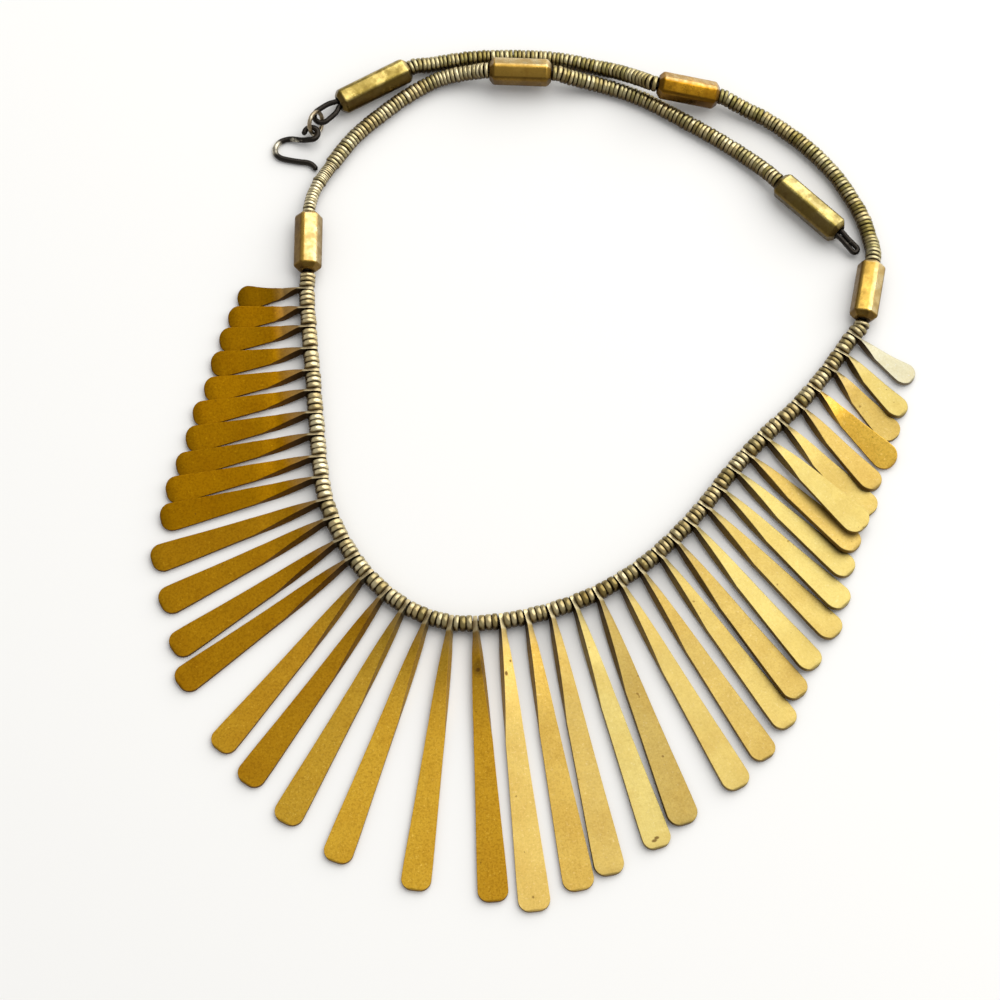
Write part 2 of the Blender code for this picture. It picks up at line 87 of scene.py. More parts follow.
# The routes of the neck strings between their tube beads: x, y and the centre's height in millimetres, which
# is left out where the string lies on the surface.
LYING = 1.65
LEFT_LOWER_ROUTE = [
    (-36.8, 64.3, 1.8), (-35.7, 66.9), (-34.5, 68.9), (-33.1, 71.1), (-29.1, 76.8), (-24.2, 81.6),
    (-18.8, 86.1), (-13.2, 89.5, 1.9), (-8.0, 90.8, 2.6), (-4.5, 90.9, 3.4),
]
LEFT_UPPER_ROUTE = [
    (14.0, 89.6, 3.4), (20.0, 88.7, 1.8), (24.0, 87.5), (28.0, 85.8), (31.2, 84.1), (38.6, 79.5),
    (43.7, 76.2), (48.7, 72.5, 1.8), (52.0, 69.6, 2.2),
]
RIGHT_LOWER_ROUTE = [
    (72.9, 52.2, 2.0), (72.4, 54.6), (71.2, 59.1), (68.7, 64.3), (65.3, 69.7), (59.7, 75.8),
    (53.2, 80.8, 1.8), (49.0, 83.0, 2.1),
]
RIGHT_UPPER_ROUTE = [
    (28.0, 88.8, 4.3), (24.0, 90.9, 3.0), (20.1, 92.5, 2.0), (12.0, 94.5), (4.0, 95.1), (-4.0, 95.0),
    (-9.5, 94.3), (-14.0, 93.3, 1.9),
]

# The tube beads: the middle in millimetres, the way the string runs through in degrees from +X, its climb,
# the turn of the flats about it, and how pale and how tarnished the brass is.
TUBES = {
    # x  y  z  heading  climb  turn  tone  tarnish
    "tube_left": (-37.5, 53.3, 2.70, 90.0, 0.0, 8.0, 0.38, 0.35),
    "tube_back": (4.1, 90.4, 4.20, -2.3, 0.0, 30.0, 0.33, 0.45),
    "tube_left_end": (60.7, 60.8, 2.82, -44.6, 0.0, -22.0, 0.80, 0.85),
    "tube_right": (71.4, 42.7, 2.73, 78.9, 0.0, -10.0, 0.40, 0.35),
    "tube_right_back": (37.4, 86.2, 4.30, 173.0, 10.2, -26.0, 0.06, 0.65),
    "tube_right_end": (-25.2, 88.1, 2.55, -150.4, 0.0, 0.0, 0.72, 0.95),
}

# Each neck string: its beads from the bib up, and the routes between them.
NECK_STRINGS = {
    "neck_string_left": (("tube_left", "tube_back", "tube_left_end"), (LEFT_LOWER_ROUTE, LEFT_UPPER_ROUTE)),
    "neck_string_right": (("tube_right", "tube_right_back", "tube_right_end"),
                          (RIGHT_LOWER_ROUTE, RIGHT_UPPER_ROUTE)),
}

# How single discs differ: in thickness and diameter, how far they slip off the thread's middle as a share of
# the diameter, how full they fill their room, and how much their tones and those of the gaps vary.
DISC_THICKNESSES = (0.88, 1.12)
DISC_WIDTHS = (0.955, 1.0)
DISC_SLIP = 0.012
DISC_FILL = 0.985
DISC_TONES = 0.35
GAP_TONES = 0.12

# How olive the discs of the bib are, and how pale, by the last gap between two paddles that a tone reaches.
BIB_OLIVE = 0.3
BIB_TONES = [(3, 0.85), (12, 0.75), (15, 0.50), (18, 0.30), (26, 0.15), (41, 0.28)]

# How pale and how olive the discs are after each tube bead of the two neck strings.
NECK_TONES = {"tube_left": (0.42, 0.6), "tube_back": (0.36, 0.8), "tube_right": (0.20, 0.9),
              "tube_right_back": (0.22, 0.8)}

# The worn discs above the left tube bead: how far up each kind goes in millimetres, its diameter and pitch
# as shares of the plain disc's, and how pale it is. Plain discs follow.
WORN_DISCS = [
    # until  diameter  pitch  tone
    (7.6, 0.79, 0.84, 0.85),
    (8.1, 0.90, 0.55, 0.35),
    (12.4, 0.84, 0.50, 1.00),
]

# The fringe, from the left tube bead round to the right one. Each row: the room from the paddle before as a
# share of the even spacing, the turn from straight out in degrees, the length and the width as shares of the
# full ones, the roll as a share of the shingle's roll, and how pale and how bright the brass is.
PADDLES = [
    # room  turn  length  width  roll  pale  bright
    (0.00, 7, 0.245, 0.83, 0.8, 0.0, 0.05),
    (0.90, 3.5, 0.280, 0.82, 1.2, 0.0, 0.25),
    (0.89, 4, 0.315, 0.83, 1.1, 0.0, 0.20),
    (1.03, 3.5, 0.350, 0.85, 1, 0.0, 0.20),
    (1.03, 5, 0.380, 0.84, 0.9, 0.0, 0.25),
    (0.93, 6.5, 0.425, 0.84, 1, 0.0, 0.25),
    (1.02, 7, 0.455, 0.88, 0.9, 0.0, 0.20),
    (1.01, 8, 0.495, 0.85, 1, 0.0, 0.20),
    (1.01, 7, 0.535, 0.89, 1, 0.0, 0.25),
    (0.95, 7, 0.565, 0.90, 0.95, 0.0, 0.20),
    (1.02, 3.5, 0.625, 0.90, 0.5, 0.05, 0.20),
    (0.86, 6, 0.650, 0.92, 0.3, 0.05, 0.20),
    (1.03, 6, 0.685, 0.90, 0.2, 0.05, 0.20),
    (0.92, 4, 0.730, 0.92, 0.1, 0.05, 0.20),
    (0.98, 9.5, 0.780, 0.88, 0.0, 0.2, 0.35),
    (1.09, 6.5, 0.805, 0.92, 0.0, 0.1, 0.25),
    (1.00, 3, 0.845, 0.94, 0.0, 0.3, 0.35),
    (1.04, 1, 0.895, 0.93, 0.0, 0.3, 0.45),
    (0.96, 2, 0.925, 0.93, 0.0, 0.3, 0.45),
    (1.01, 0.5, 0.955, 0.95, 0.0, 0.2, 0.35),
    (1.05, -1, 1.000, 0.99, 0.0, 0.6, 0.60),
    (1.05, -2.5, 0.955, 0.98, 0.0, 0.5, 0.50),
    (0.98, -5, 0.930, 0.94, 0.3, 0.6, 0.40),
    (1.04, -3.5, 0.890, 0.90, 0.3, 0.8, 0.45),
    (1.02, -7, 0.850, 0.99, 0.6, 0.6, 0.25),
    (1.07, -3.5, 0.820, 0.92, 0.4, 0.7, 0.40),
    (1.00, -4.5, 0.785, 0.88, 0.5, 0.6, 0.35),
    (1.02, -7, 0.745, 0.89, 0.7, 0.7, 0.40),
    (0.90, -8, 0.695, 0.92, 0.9, 0.6, 0.35),
    (1.02, -9.5, 0.660, 0.88, 0.9, 0.8, 0.45),
    (0.97, -7, 0.635, 0.95, 0.9, 0.7, 0.40),
    (1.01, -8.5, 0.595, 0.93, 0.9, 0.8, 0.45),
    (1.04, -4, 0.540, 0.90, 0.9, 0.8, 0.45),
    (0.94, -1.5, 0.500, 0.94, 1.2, 0.6, 0.45),
    (1.07, -1.5, 0.475, 0.94, 0.1, 0.8, 0.50),
    (1.01, 0.5, 0.450, 0.85, 0, 0.7, 0.50),
    (1.06, -6, 0.400, 0.87, 1.2, 0.6, 0.40),
    (1.04, -7, 0.385, 0.87, -1.0, 0.4, 0.80),
    (1.13, -11.5, 0.335, 0.83, 0.0, 0.6, 0.40),
    (0.90, -13, 0.310, 0.82, 1.1, 0.8, 0.40),
    (1.01, 2, 0.260, 0.78, 0.6, 1.0, 0.45),
]

# The last paddle whose section leans the one way. The others lean the other way.
TURNED_LAST = 20

# Paddles whose blade rides over its neighbours: its rise as a share of the blade's thickness.
RAISED = {35: 1.8}

# How a paddle changes from its eye to where its tip begins to round: the place as a share of that run, then
# shares of the way from the eye's width to the blade's, and from the blade's thickness to the eye's depth,
# how square the section is (0 stands on its edge), the share of the roll, and the underside's height.
FORM = [
    # at   width  depth  square  roll  under
    (0.00, 0.08, 0.96, 0.30, 0.0, 1.0),
    (0.08, 0.23, 0.80, 0.36, 0.1, 0.85),
    (0.18, 0.36, 0.58, 0.50, 0.3, 0.65),
    (0.30, 0.47, 0.34, 0.72, 0.6, 0.35),
    (0.42, 0.55, 0.14, 1.00, 0.9, 0.1),
    (0.72, 0.78, 0.00, 1.00, 1.0, 0.0),
    (1.00, 1.00, 0.00, 1.00, 1.0, 0.0),
]

# The steps that ease one row into the next, and those round the tip.
FORM_STEPS = 4
TIP_STEPS = 8

# The eye from its back to its middle: the place as a share of how far the eye reaches back, the width and the
# depth as shares of the eye's, and how square the section is.
EYE_FORM = [(-1.0, 0.6, 0.45, 0.8), (-0.85, 0.85, 0.72, 0.8), (-0.5, 1.0, 0.95, 0.7), (0.0, 1.0, 1.0, 0.6)]

# The first and the last paddle are slimmer on the way to the tip: the power that their width follows.
SLIMMER = {1: 1.6, 41: 1.4}

# Stains and pits that stand out: how far along the paddle and to its side, their half length and half width
# in millimetres, and how dark they are.
MARKS = {
    20: [(8.9, 0.1, 1.9, 1.2, 0.45), (9.3, 0.3, 0.45, 0.4, 0.8)],
    21: [(8.1, -0.7, 0.30, 0.24, 0.8), (10.5, 0.4, 0.5, 0.36, 0.85), (53.0, -0.2, 0.3, 0.24, 0.6)],
    24: [(47.6, -0.35, 0.32, 0.55, 0.8), (48.0, 0.25, 0.32, 0.60, 0.8)],
}

# Paddles rubbed to a whiter metal, each with its palest colour.
SILVERY = {41: (0.56, 0.53, 0.37)}

# The doubled wire loops: the tube bead each comes out of, how far from its mouth the loop's eye stands, the
# eye's width and its drop in millimetres, and the swing from straight on in degrees.
WIRE_LOOPS = {
    "catch_loop": ("tube_left_end", 4.2, 2.35, 1.2, 0.0),
    "ring_loop": ("tube_right_end", 4.35, 4.1, 0.1, 10.0),
}

# The jump ring: its middle in millimetres, the way from the hook's eye to the wire loop in degrees from +X,
# and how far it leans out of level about that line.
RING_PLACE = (-4.49, -4.42, -0.05)
RING_HEADING = 67.0
RING_LEAN = 67.0

# The hook: the middle of its eye in millimetres, where its wire ends in the eye and leaves it in degrees,
# and the wire's route from there, with x and y from the eye's middle and the height of the wire's centre.
HOOK_PLACE = (-5.39, -6.57, -0.35)
HOOK_EYE_TURN = (195.0, -90.0)
HOOK_ROUTE = [
    (-1.8, -1.0, 1.3), (-3.9, -0.45, 0.7), (-5.5, -0.7, 0.58), (-6.6, -1.4, 0.58), (-7.15, -2.5, 0.58),
    (-7.0, -3.7, 0.58), (-6.1, -4.6, 0.58), (-4.4, -5.1, 0.58), (-2.2, -5.5, 0.58), (-0.7, -5.7, 0.58),
    (0.3, -6.2, 0.58), (1.2, -7.3, 0.58),
]

# The steps round the hook's eye, the place on the route where a highlight is painted, and how far round it
# that reaches.
HOOK_EYE_STEPS = 20
HOOK_HIGHLIGHT_AT = 4
HOOK_HIGHLIGHT_REACH = 2.2 * MM


def a_number(name, description, default, low, high, **kind):
    """A setting. kind: its unit or subtype."""
    return FloatProperty(name=name, description=description, default=default, min=low, max=high, **kind)


def a_length(name, description, default, low, high):
    """A setting in metres."""
    return a_number(name, description, default, low, high, unit="LENGTH", precision=5)


def a_colour(name, description, default):
    """A setting that holds a colour."""
    return FloatVectorProperty(name=name, description=description, default=default, subtype="COLOR",
                               size=3, min=0, max=1)


class StringSettings(bpy.types.PropertyGroup):
    """Sizes of the discs and their thread."""

    disc_diameter: a_length("Disc Diameter", "Across a plain disc", 0.0032, 0.002, 0.004)
    bib_disc: a_length("Bib Disc", "Pitch of the discs between the paddles", 0.00113, 0.0005, 0.002)
    neck_disc: a_length("Neck Disc", "Pitch of the discs of the neck strings", 0.00088, 0.0005, 0.002)
    thread: a_length("Thread", "Diameter of the thread", 0.001, 0.0005, 0.002)
    lean: a_number("Lean", "The most that a disc leans on the thread", math.radians(3.5), 0.0, 0.2,
                   subtype="ANGLE")
    sides: IntProperty(name="Sides", description="Sides of a disc's rim", default=18, min=8, max=32)


class PaddleSettings(bpy.types.PropertyGroup):
    """Sizes of the fringe."""

    length: a_length("Longest Paddle", "From the string's middle to the tip of the longest paddle",
                     0.0556, 0.03, 0.08)
    blade_width: a_length("Blade Width", "Across the widest blade", 0.0059, 0.003, 0.008)
    blade_thickness: a_length("Blade Thickness", "Through the blade", 0.0009, 0.0005, 0.0015)
    eye_width: a_length("Eye Width", "Of the eye, along the string", 0.001, 0.0006, 0.0015)
    soft_edge: a_length("Soft Edge", "Rounding of the filed edges", 0.00016, 0.00005, 0.0004)


class BeadSettings(bpy.types.PropertyGroup):
    """Sizes of the hexagonal tube beads."""

    flats: a_length("Across Flats", "Width of a tube bead", 0.0051, 0.003, 0.008)
    length: a_length("Length", "Length of the four short tube beads", 0.0124, 0.008, 0.02)
    end_length: a_length("End Length", "Length of the two end tube beads", 0.0159, 0.008, 0.02)
    chamfer: a_length("End Chamfer", "Chamfer round the ends", 0.00095, 0.0002, 0.0015)
    soft_edge: a_length("Worn Edge", "Rounding of the long edges", 0.00066, 0.0001, 0.0008)


class WireSettings(bpy.types.PropertyGroup):
    """Sizes of the fastening."""

    loop_wire: a_length("Loop Wire", "Diameter of the loops' wire", 0.0011, 0.0004, 0.0015)
    ring_wire: a_length("Ring Wire", "Diameter of the jump ring's wire", 0.00085, 0.0004, 0.0015)
    ring_diameter: a_length("Ring Diameter", "Outside of the jump ring", 0.00525, 0.003, 0.008)
    hook_wire: a_length("Hook Wire", "Diameter of the hook's wire", 0.00115, 0.0005, 0.002)
    hook_eye: a_length("Hook Eye", "Outside of the hook's eye", 0.00385, 0.002, 0.006)


class FinishSettings(bpy.types.PropertyGroup):
    """Colours of the metals."""

    deep_gold: a_colour("Deep Gold", "Brass of the darkest paddles", (0.62, 0.295, 0.006))
    pale_gold: a_colour("Pale Gold", "Brass of the palest paddles", (0.62, 0.55, 0.205))
    # The tarnish colour, halved, also serves as painted shade on the steep sides of the paddles and the tube
    # beads.
    tarnish: a_colour("Tarnish", "Brown tarnish on the brass", (0.10, 0.045, 0.010))
    disc_brass: a_colour("Disc Brass", "Rims of the discs", (0.86, 0.76, 0.49))
    # The groove colour is grime and painted shade in the gaps between the discs, and painted shade under the
    # paddles' eyes.
    groove_and_shade: a_colour("Groove", "Grime between the discs", (0.060, 0.036, 0.014))
    dark_wire: a_colour("Dark Wire", "Blackened wire", (0.030, 0.026, 0.022))
    # The worn wire colour is also the painted highlight on the hook's bend.
    worn_and_highlight_wire: a_colour("Worn Wire", "Where the wire's blackening is worn off", (0.62, 0.57, 0.45))


class StageSettings(bpy.types.PropertyGroup):
    """The camera, the floor and the lights."""

    distance: a_number("Distance", "From the camera to what it looks at", 0.6, 0.2, 3.0, unit="LENGTH")
    elevation: a_number("Elevation", "Of the camera above the floor", math.radians(68), 0.2, 1.5,
                        subtype="ANGLE")
    lens: a_number("Lens", "Focal length in millimetres", 113.68, 20, 300)
    floor_colour: a_colour("Floor", "Colour of the floor", (0.93, 0.93, 0.925))
    room_light: a_number("Room Light", "Strength of the even light", 0.50, 0.0, 5.0)
    key_light: a_number("Key Light", "Power of the soft light in watts", 12.0, 0.0, 50.0)


def on_floor(x, y, z=LYING):
    return Vector((x, y, z)) * MM + ROUTES_FROM


def heading_to(turn, climb):
    """The direction at a turn from +X and a climb above level, both in degrees."""
    turn, climb = math.radians(turn), math.radians(climb)
    return Vector((math.cos(turn) * math.cos(climb), math.sin(turn) * math.cos(climb), math.sin(climb)))


def curve_at(a, b, c, d, t):
    """A smooth curve's value at a share of the way from b to c, with a before them and d after."""
    return 0.5 * (2 * b + (c - a) * t + (2 * a - 5 * b + 4 * c - d) * t**2 + (3 * b - a - 3 * c + d) * t**3)


def smooth_path(points, step):
    """Points every step or so along a smooth curve through the given ones, both ends kept."""
    knots = [2 * points[0] - points[1], *points, 2 * points[-1] - points[-2]]
    path = [points[0]]
    for a, b, c, d in zip(knots, knots[1:], knots[2:], knots[3:]):
        parts = max(1, round((c - b).length / step))
        path += [curve_at(a, b, c, d, k / parts) for k in range(1, parts + 1)]
    return path


def lengths_along(path):
    return list(accumulate(((b - a).length for a, b in zip(path, path[1:])), initial=0.0))


def point_at(path, total, distance):
    """The place at a distance along a path, and the path's direction there, eased from point to point."""
    for k in range(1, len(path)):
        if distance <= total[k] or k == len(path) - 1:
            share = (distance - total[k - 1]) / (total[k] - total[k - 1])
            before = path[k] - path[max(k - 2, 0)]
            after = path[min(k + 1, len(path) - 1)] - path[k - 1]
            way = before.normalized().lerp(after.normalized(), share)
            return path[k - 1].lerp(path[k], share), way.normalized()


def axes_along(way):
    """A turn that lays +Z along a way, with +Y upward."""
    side = Vector((0, 0, 1)).cross(way).normalized()
    return Matrix((side, way.cross(side), way)).transposed().to_4x4()


def tube_frame(name, beads):
    """Where a tube bead's middle is, the way through it, its length and the turn of its flats."""
    x, y, z, heading, climb, turn, _, _ = TUBES[name]
    length = beads.end_length if name.endswith("_end") else beads.length
    return on_floor(x, y, z), heading_to(heading, climb), length, math.radians(turn)


def bead_end(name, beads, end, beyond=0.0):
    """The place beyond a tube bead's far end, 1, or near end, -1, and the way through the bead."""
    place, way, length, _ = tube_frame(name, beads)
    return place + way * end * (length / 2 + beyond), way


def string_path(start, way, route, end, last_way, diameter, step):
    """A string's path that leaves one bead and enters the next one straight."""
    knots = [start, start + way * diameter / 3, *route, end - last_way * diameter / 3, end]
    return smooth_path(knots, step)


def bib_stations(scene):
    """The bib string's path, how far along it each paddle's eye sits, and the even spacing."""
    diameter = scene.necklace_string.disc_diameter
    start, left_way = bead_end("tube_left", scene.necklace_beads, -1, CLEARANCE)
    end, right_way = bead_end("tube_right", scene.necklace_beads, -1, CLEARANCE)
    start.z = end.z = diameter / 2 + ROUTES_FROM.z
    route = [on_floor(x, y, diameter / 2 / MM) for x, y in BIB_ROUTE]
    path = string_path(start, -left_way, route, end, right_way, diameter, diameter / 4)
    total = lengths_along(path)
    even = (total[-1] - FIRST_RUN - LAST_RUN) / sum(room for room, *_ in PADDLES)
    _, *stations = accumulate((room * even for room, *_ in PADDLES), initial=FIRST_RUN)
    return path, total, stations, even


def set_up(thing, **settings):
    """Gives a thing these settings, and gives it back."""
    for name, value in settings.items():
        setattr(thing, name, value)
    return thing


def select_only(*items):
    bpy.ops.object.select_all(action="DESELECT")
    for item in items:
        item.select_set(True)
    bpy.context.view_layer.objects.active = items[0]


def start_piece(name, add, **sizes):
    """Adds a primitive at the origin, names it, and selects nothing else."""
    if bpy.context.object and bpy.context.object.mode != "OBJECT":
        bpy.ops.object.mode_set(mode="OBJECT")
    add(location=(0, 0, 0), **sizes)
    item = bpy.context.object
    item.name = item.data.name = name
    select_only(item)
    return item


def one_end(edge):
    """Whether an edge lies at one end of a piece, and doesn't run along it."""
    return edge.verts[0].co.z * edge.verts[1].co.z > 0


def pick(item, mode, test):
    """In edit mode, selects the edges or faces of a piece that pass a test."""
    bpy.ops.mesh.select_all(action="DESELECT")
    bpy.ops.mesh.select_mode(type=mode)
    shape = bmesh.from_edit_mesh(item.data)
    picked = [part for part in (shape.edges if mode == "EDGE" else shape.faces) if test(part)]
    if not picked:
        raise RuntimeError(f"nothing to shape on {item.name}")
    for part in picked:
        part.select_set(True)
    shape.select_flush_mode()
    bmesh.update_edit_mesh(item.data)


def copy_of(master, name):
    """A copy with its own mesh."""
    item = master.copy()
    item.data = master.data.copy()
    item.name = item.data.name = name
    bpy.context.collection.objects.link(item)
    return item


def modify(item, kind, **settings):
    """Applies a modifier with these settings to a piece."""
    modifier = set_up(item.modifiers.new(kind, kind), **settings)
    select_only(item)
    bpy.ops.object.modifier_apply(modifier=modifier.name)


def soften(item, width, segments, angle):
    """Rounds a piece's sharp edges and shades the rest as one surface."""
    modify(item, "BEVEL", width=width, segments=segments, limit_method="ANGLE",
           angle_limit=math.radians(angle), harden_normals=False)
    bpy.ops.object.shade_smooth_by_angle(angle=math.radians(50))


def even_shading(item):
    """Keeps wide flat faces flat up to their rounded edges."""
    modify(item, "WEIGHTED_NORMAL", weight=100, keep_sharp=True)


def cut_away(item, cutter, place):
    """Cuts a cutter, laid at a place, out of a piece."""
    cutter.matrix_world = place
    bpy.context.view_layer.update()
    modify(item, "BOOLEAN", operation="DIFFERENCE", solver="EXACT", object=cutter)


def join(items, name):
    select_only(*items)
    bpy.ops.object.join()
    item = bpy.context.object
    item.name = item.data.name = name
    return item


def tint(item, patina_at):
    """Writes a piece's patina, three numbers read at each vertex's place; on the discs and the hook some of
    them place painted shade or a painted highlight.
    """
    layer = item.data.attributes.new("patina", "FLOAT_COLOR", "POINT")
    for vertex, value in zip(item.data.vertices, layer.data):
        value.color = (*patina_at(vertex.co), 1.0)


def round_wire(name, points, diameter, shares=None):
    """A round wire through points, as a mesh. shares: how much of the full radius it has at each."""
    curve = set_up(bpy.data.curves.new(name, "CURVE"), dimensions="3D", bevel_depth=diameter / 2,
                   bevel_resolution=3, use_fill_caps=True)
    spline = curve.splines.new("POLY")
    spline.points.add(len(points) - 1)
    for knot, place, share in zip(spline.points, points, shares or [1.0] * len(points)):
        knot.co = (*place, 1.0)
        knot.radius = share
    item = bpy.data.objects.new(name, curve)
    bpy.context.collection.objects.link(item)
    select_only(item)
    bpy.ops.object.convert(target="MESH")
    item = bpy.context.object
    item.name = item.data.name = name
    bpy.ops.object.mode_set(mode="EDIT")
    bpy.ops.mesh.select_all(action="SELECT")
    bpy.ops.mesh.remove_doubles(threshold=1e-6)
    bpy.ops.mesh.normals_make_consistent(inside=False)
    bpy.ops.object.mode_set(mode="OBJECT")
    bpy.ops.object.shade_smooth_by_angle(angle=math.radians(60))
    return item


def rounded_ends(points, diameter):
    """Radius shares for a wire's points that round off both of its ends."""
    total = lengths_along(points)
    shares = []
    for distance in total:
        near = min(distance, total[-1] - distance, diameter / 2) / (diameter / 2)
        shares.append(0.35 + 0.65 * math.sqrt(max(0.0, 1 - (1 - near) ** 2)))
    return shares


def arc_points(middle, out, across, radius, first, last, steps):
    """Points round part of a circle, from one angle to another in degrees, measured from out to across."""
    for k in range(steps + 1):
        angle = math.radians(first + (last - first) * k / steps)
        yield middle + out * radius * math.cos(angle) + across * radius * math.sin(angle)


class Paint:
    """A material and its nodes. A colour or a number may be a plain value or another node's socket."""

    def __init__(self, name, metallic=1.0):
        self.material = bpy.data.materials.new(name)
        self.material.use_nodes = True
        self.tree = self.material.node_tree
        self.shader = self.tree.nodes["Principled BSDF"]
        self.shader.inputs["Metallic"].default_value = metallic
        self.place = self.node("ShaderNodeTexCoord").outputs["Object"]

    def feed(self, socket, value):
        if isinstance(value, bpy.types.NodeSocket):
            self.tree.links.new(value, socket)
        else:
            socket.default_value = value

    def node(self, kind, inputs=None, **settings):
        node = set_up(self.tree.nodes.new(kind), **settings)
        for key, value in (inputs or {}).items():
            self.feed(node.inputs[key], value)
        return node

    def patina(self):
        """The patina written on the piece, and its three numbers, some of which place painted shade or a
        painted highlight.
        """
        whole = self.node("ShaderNodeAttribute", attribute_name="patina").outputs["Color"]
        return (whole, *self.node("ShaderNodeSeparateColor", {"Color": whole}).outputs)

    def mixed(self, share, first, second, blend="MIX"):
        """Mixes two colours."""
        first, second = (value if isinstance(value, bpy.types.NodeSocket) else (*value[:3], 1.0)
                         for value in (first, second))
        return self.node("ShaderNodeMix", {0: share, 6: first, 7: second}, data_type="RGBA",
                         blend_type=blend).outputs[2]

    def scaled(self, colour, factors):
        return self.mixed(1.0, colour, factors, "MULTIPLY")

    def toned(self, share, colour, factors):
        """Multiplies a colour by factors, as far as a share says."""
        return self.mixed(share, colour, self.scaled(colour, factors))

    def span(self, value, low, high, to_low=0.0, to_high=1.0):
        """Reads a value between two limits as a share, clamped and eased."""
        limits = {"Value": value, "From Min": low, "From Max": high, "To Min": to_low, "To Max": to_high}
        return self.node("ShaderNodeMapRange", limits, interpolation_type="SMOOTHSTEP").outputs["Result"]

    def maths(self, operation, first, second):
        return self.node("ShaderNodeMath", {0: first, 1: second}, operation=operation).outputs[0]

    def vectors(self, operation, inputs, output=0):
        return self.node("ShaderNodeVectorMath", inputs, operation=operation).outputs[output]

    def seeded(self, seed, source, stretch=(1, 1, 1)):
        """Coordinates for a pattern, stretched, and shifted so that no two pieces share it."""
        shift = self.vectors("SCALE", {0: seed, "Scale": PATTERN_SHIFT})
        mapping = self.node("ShaderNodeMapping", {"Vector": source, "Scale": stretch})
        return self.vectors("ADD", {0: mapping.outputs[0], 1: shift})

    def noise(self, place, scale, detail, roughness=0.55):
        inputs = {"Vector": place, "Scale": scale, "Detail": detail, "Roughness": roughness}
        return self.node("ShaderNodeTexNoise", inputs).outputs["Fac"]

    def leaning(self, towards=(0.28, 0.28, 0.92)):
        """How far a surface faces up, counted a little higher where it faces the key light; the materials
        paint light and shade from it.
        """
        facing = self.node("ShaderNodeNewGeometry").outputs["Normal"]
        return self.vectors("DOT_PRODUCT", {0: facing, 1: towards}, "Value")

    def bump(self, height, strength, distance, under=None):
        inputs = {"Height": height, "Strength": strength, "Distance": distance}
        if under is not None:
            inputs["Normal"] = under
        return self.node("ShaderNodeBump", inputs).outputs[0]

    def done(self, colour, rough, normal=None):
        """Feeds the shader and gives the material back."""
        for name, value in (("Base Color", colour), ("Roughness", rough), ("Normal", normal)):
            if value is not None:
                self.feed(self.shader.inputs[name], value)
        return self.material


def stain(paint, blade, mark):
    """A soft-edged oval on the blade's own map."""
    along, across, half_length, half_width, dark = mark
    centre = (along / BLADE_MAP + MAP_START, MAP_MIDDLE + across / BLADE_MAP, 0)
    shifted = paint.vectors("SUBTRACT", {0: blade, 1: centre})
    scaled = paint.vectors("MULTIPLY", {0: shifted, 1: (BLADE_MAP / half_length, BLADE_MAP / half_width, 0)})
    return paint.span(paint.vectors("LENGTH", {0: scaled}, "Value"), 0.55, 1.15, dark, 0.0)


def forged_brass(finish, name, marks=(), palest=None):
    """Forged and filed brass: scratches along the blade, mottle, flecks and pits, with painted shade on the
    steep sides and under the eye.
    """
    paint = Paint(name)
    mixed, toned, span, noise = paint.mixed, paint.toned, paint.span, paint.noise
    patina, pale, bright, _ = paint.patina()
    blade = paint.node("ShaderNodeUVMap", uv_map="blade").outputs[0]
    along = paint.node("ShaderNodeSeparateXYZ", {"Vector": blade}).outputs[0]
    own_place = paint.seeded(patina, paint.place)

    scratch = noise(paint.seeded(patina, blade, (6, 170, 1)), 4.0, 6.0, 0.7)
    cross = noise(paint.seeded(patina, blade, (150, 30, 1)), 3.0, 5.0, 0.7)
    mottle = noise(paint.place, 300.0, 5.0)
    cloud = noise(own_place, 110.0, 3.0)
    grain = noise(paint.place, 2400.0, 2.0, 0.6)
    flecks = noise(own_place, 1900.0, 4.0, 0.75)
    pits = noise(own_place, 900.0, 1.0)

    brass = mixed(pale, finish.deep_gold, palest or finish.pale_gold)
    brass = toned(span(pale, 0.25, 0.60, 1.0, 0.0), brass, (1.0, 1.0, 0.5))
    brass = mixed(bright, paint.scaled(brass, [0.30] * 3), paint.scaled(brass, [1.50] * 3))
    rough_skin = span(pale, 0.2, 0.8, 1.0, 0.3)
    for share, factors in (
        (span(cloud, 0.40, 0.66, 0.0, 0.40), (0.84, 0.74, 0.55)),
        (span(mottle, 0.42, 0.72, 0.0, 0.40), (1.16, 1.16, 1.20)),
        (span(scratch, 0.45, 0.75, 0.0, 0.50), (1.22, 1.26, 1.60)),
        (paint.maths("MULTIPLY", rough_skin, span(grain, 0.44, 0.66, 0.0, 0.75)), (0.74, 0.70, 0.62)),
        (paint.maths("MULTIPLY", rough_skin, span(flecks, 0.57, 0.68, 0.0, 0.90)), (1.32, 1.46, 2.60)),
    ):
        brass = toned(share, brass, factors)
    brass = mixed(span(pits, 0.77, 0.80, 0.0, 0.50), brass, finish.tarnish)
    brass = mixed(span(along, 0.055, 0.15, 0.20, 0.0), brass, finish.disc_brass)
    # Painted shade: faces that turn down or away from the key light darken, to near-black tarnish by the
    # string and to shaded brass further out.
    up = paint.leaning()
    side = mixed(span(along, 0.07, 0.16), [0.5 * value for value in finish.tarnish],
                 paint.scaled(brass, (0.42, 0.36, 0.34)))
    brass = mixed(span(up, 0.22, 0.62, 0.94, 0.0), brass, side)
    # Painted shade on the eye: where it turns down it takes the groove colour, where it faces up the discs'
    # brass.
    eye = mixed(span(up, 0.0, 0.6), finish.groove_and_shade, finish.disc_brass)
    brass = mixed(span(along, 0.056, 0.066, 0.75, 0.0), brass, eye)
    for mark in marks:
        brass = mixed(stain(paint, blade, mark), brass, finish.tarnish)

    rough = paint.maths("ADD", span(cross, 0.3, 0.7, 0.44, 0.54), span(mottle, 0.3, 0.7, -0.03, 0.05))
    rough = paint.maths("ADD", rough, span(pale, 0.0, 0.5, 0.09, 0.0))
    hammer = paint.bump(mottle, 0.25, 0.00010, paint.bump(cloud, 0.25, 0.00020))
    return paint.done(brass, rough, paint.bump(scratch, 0.20, 0.00005, hammer))


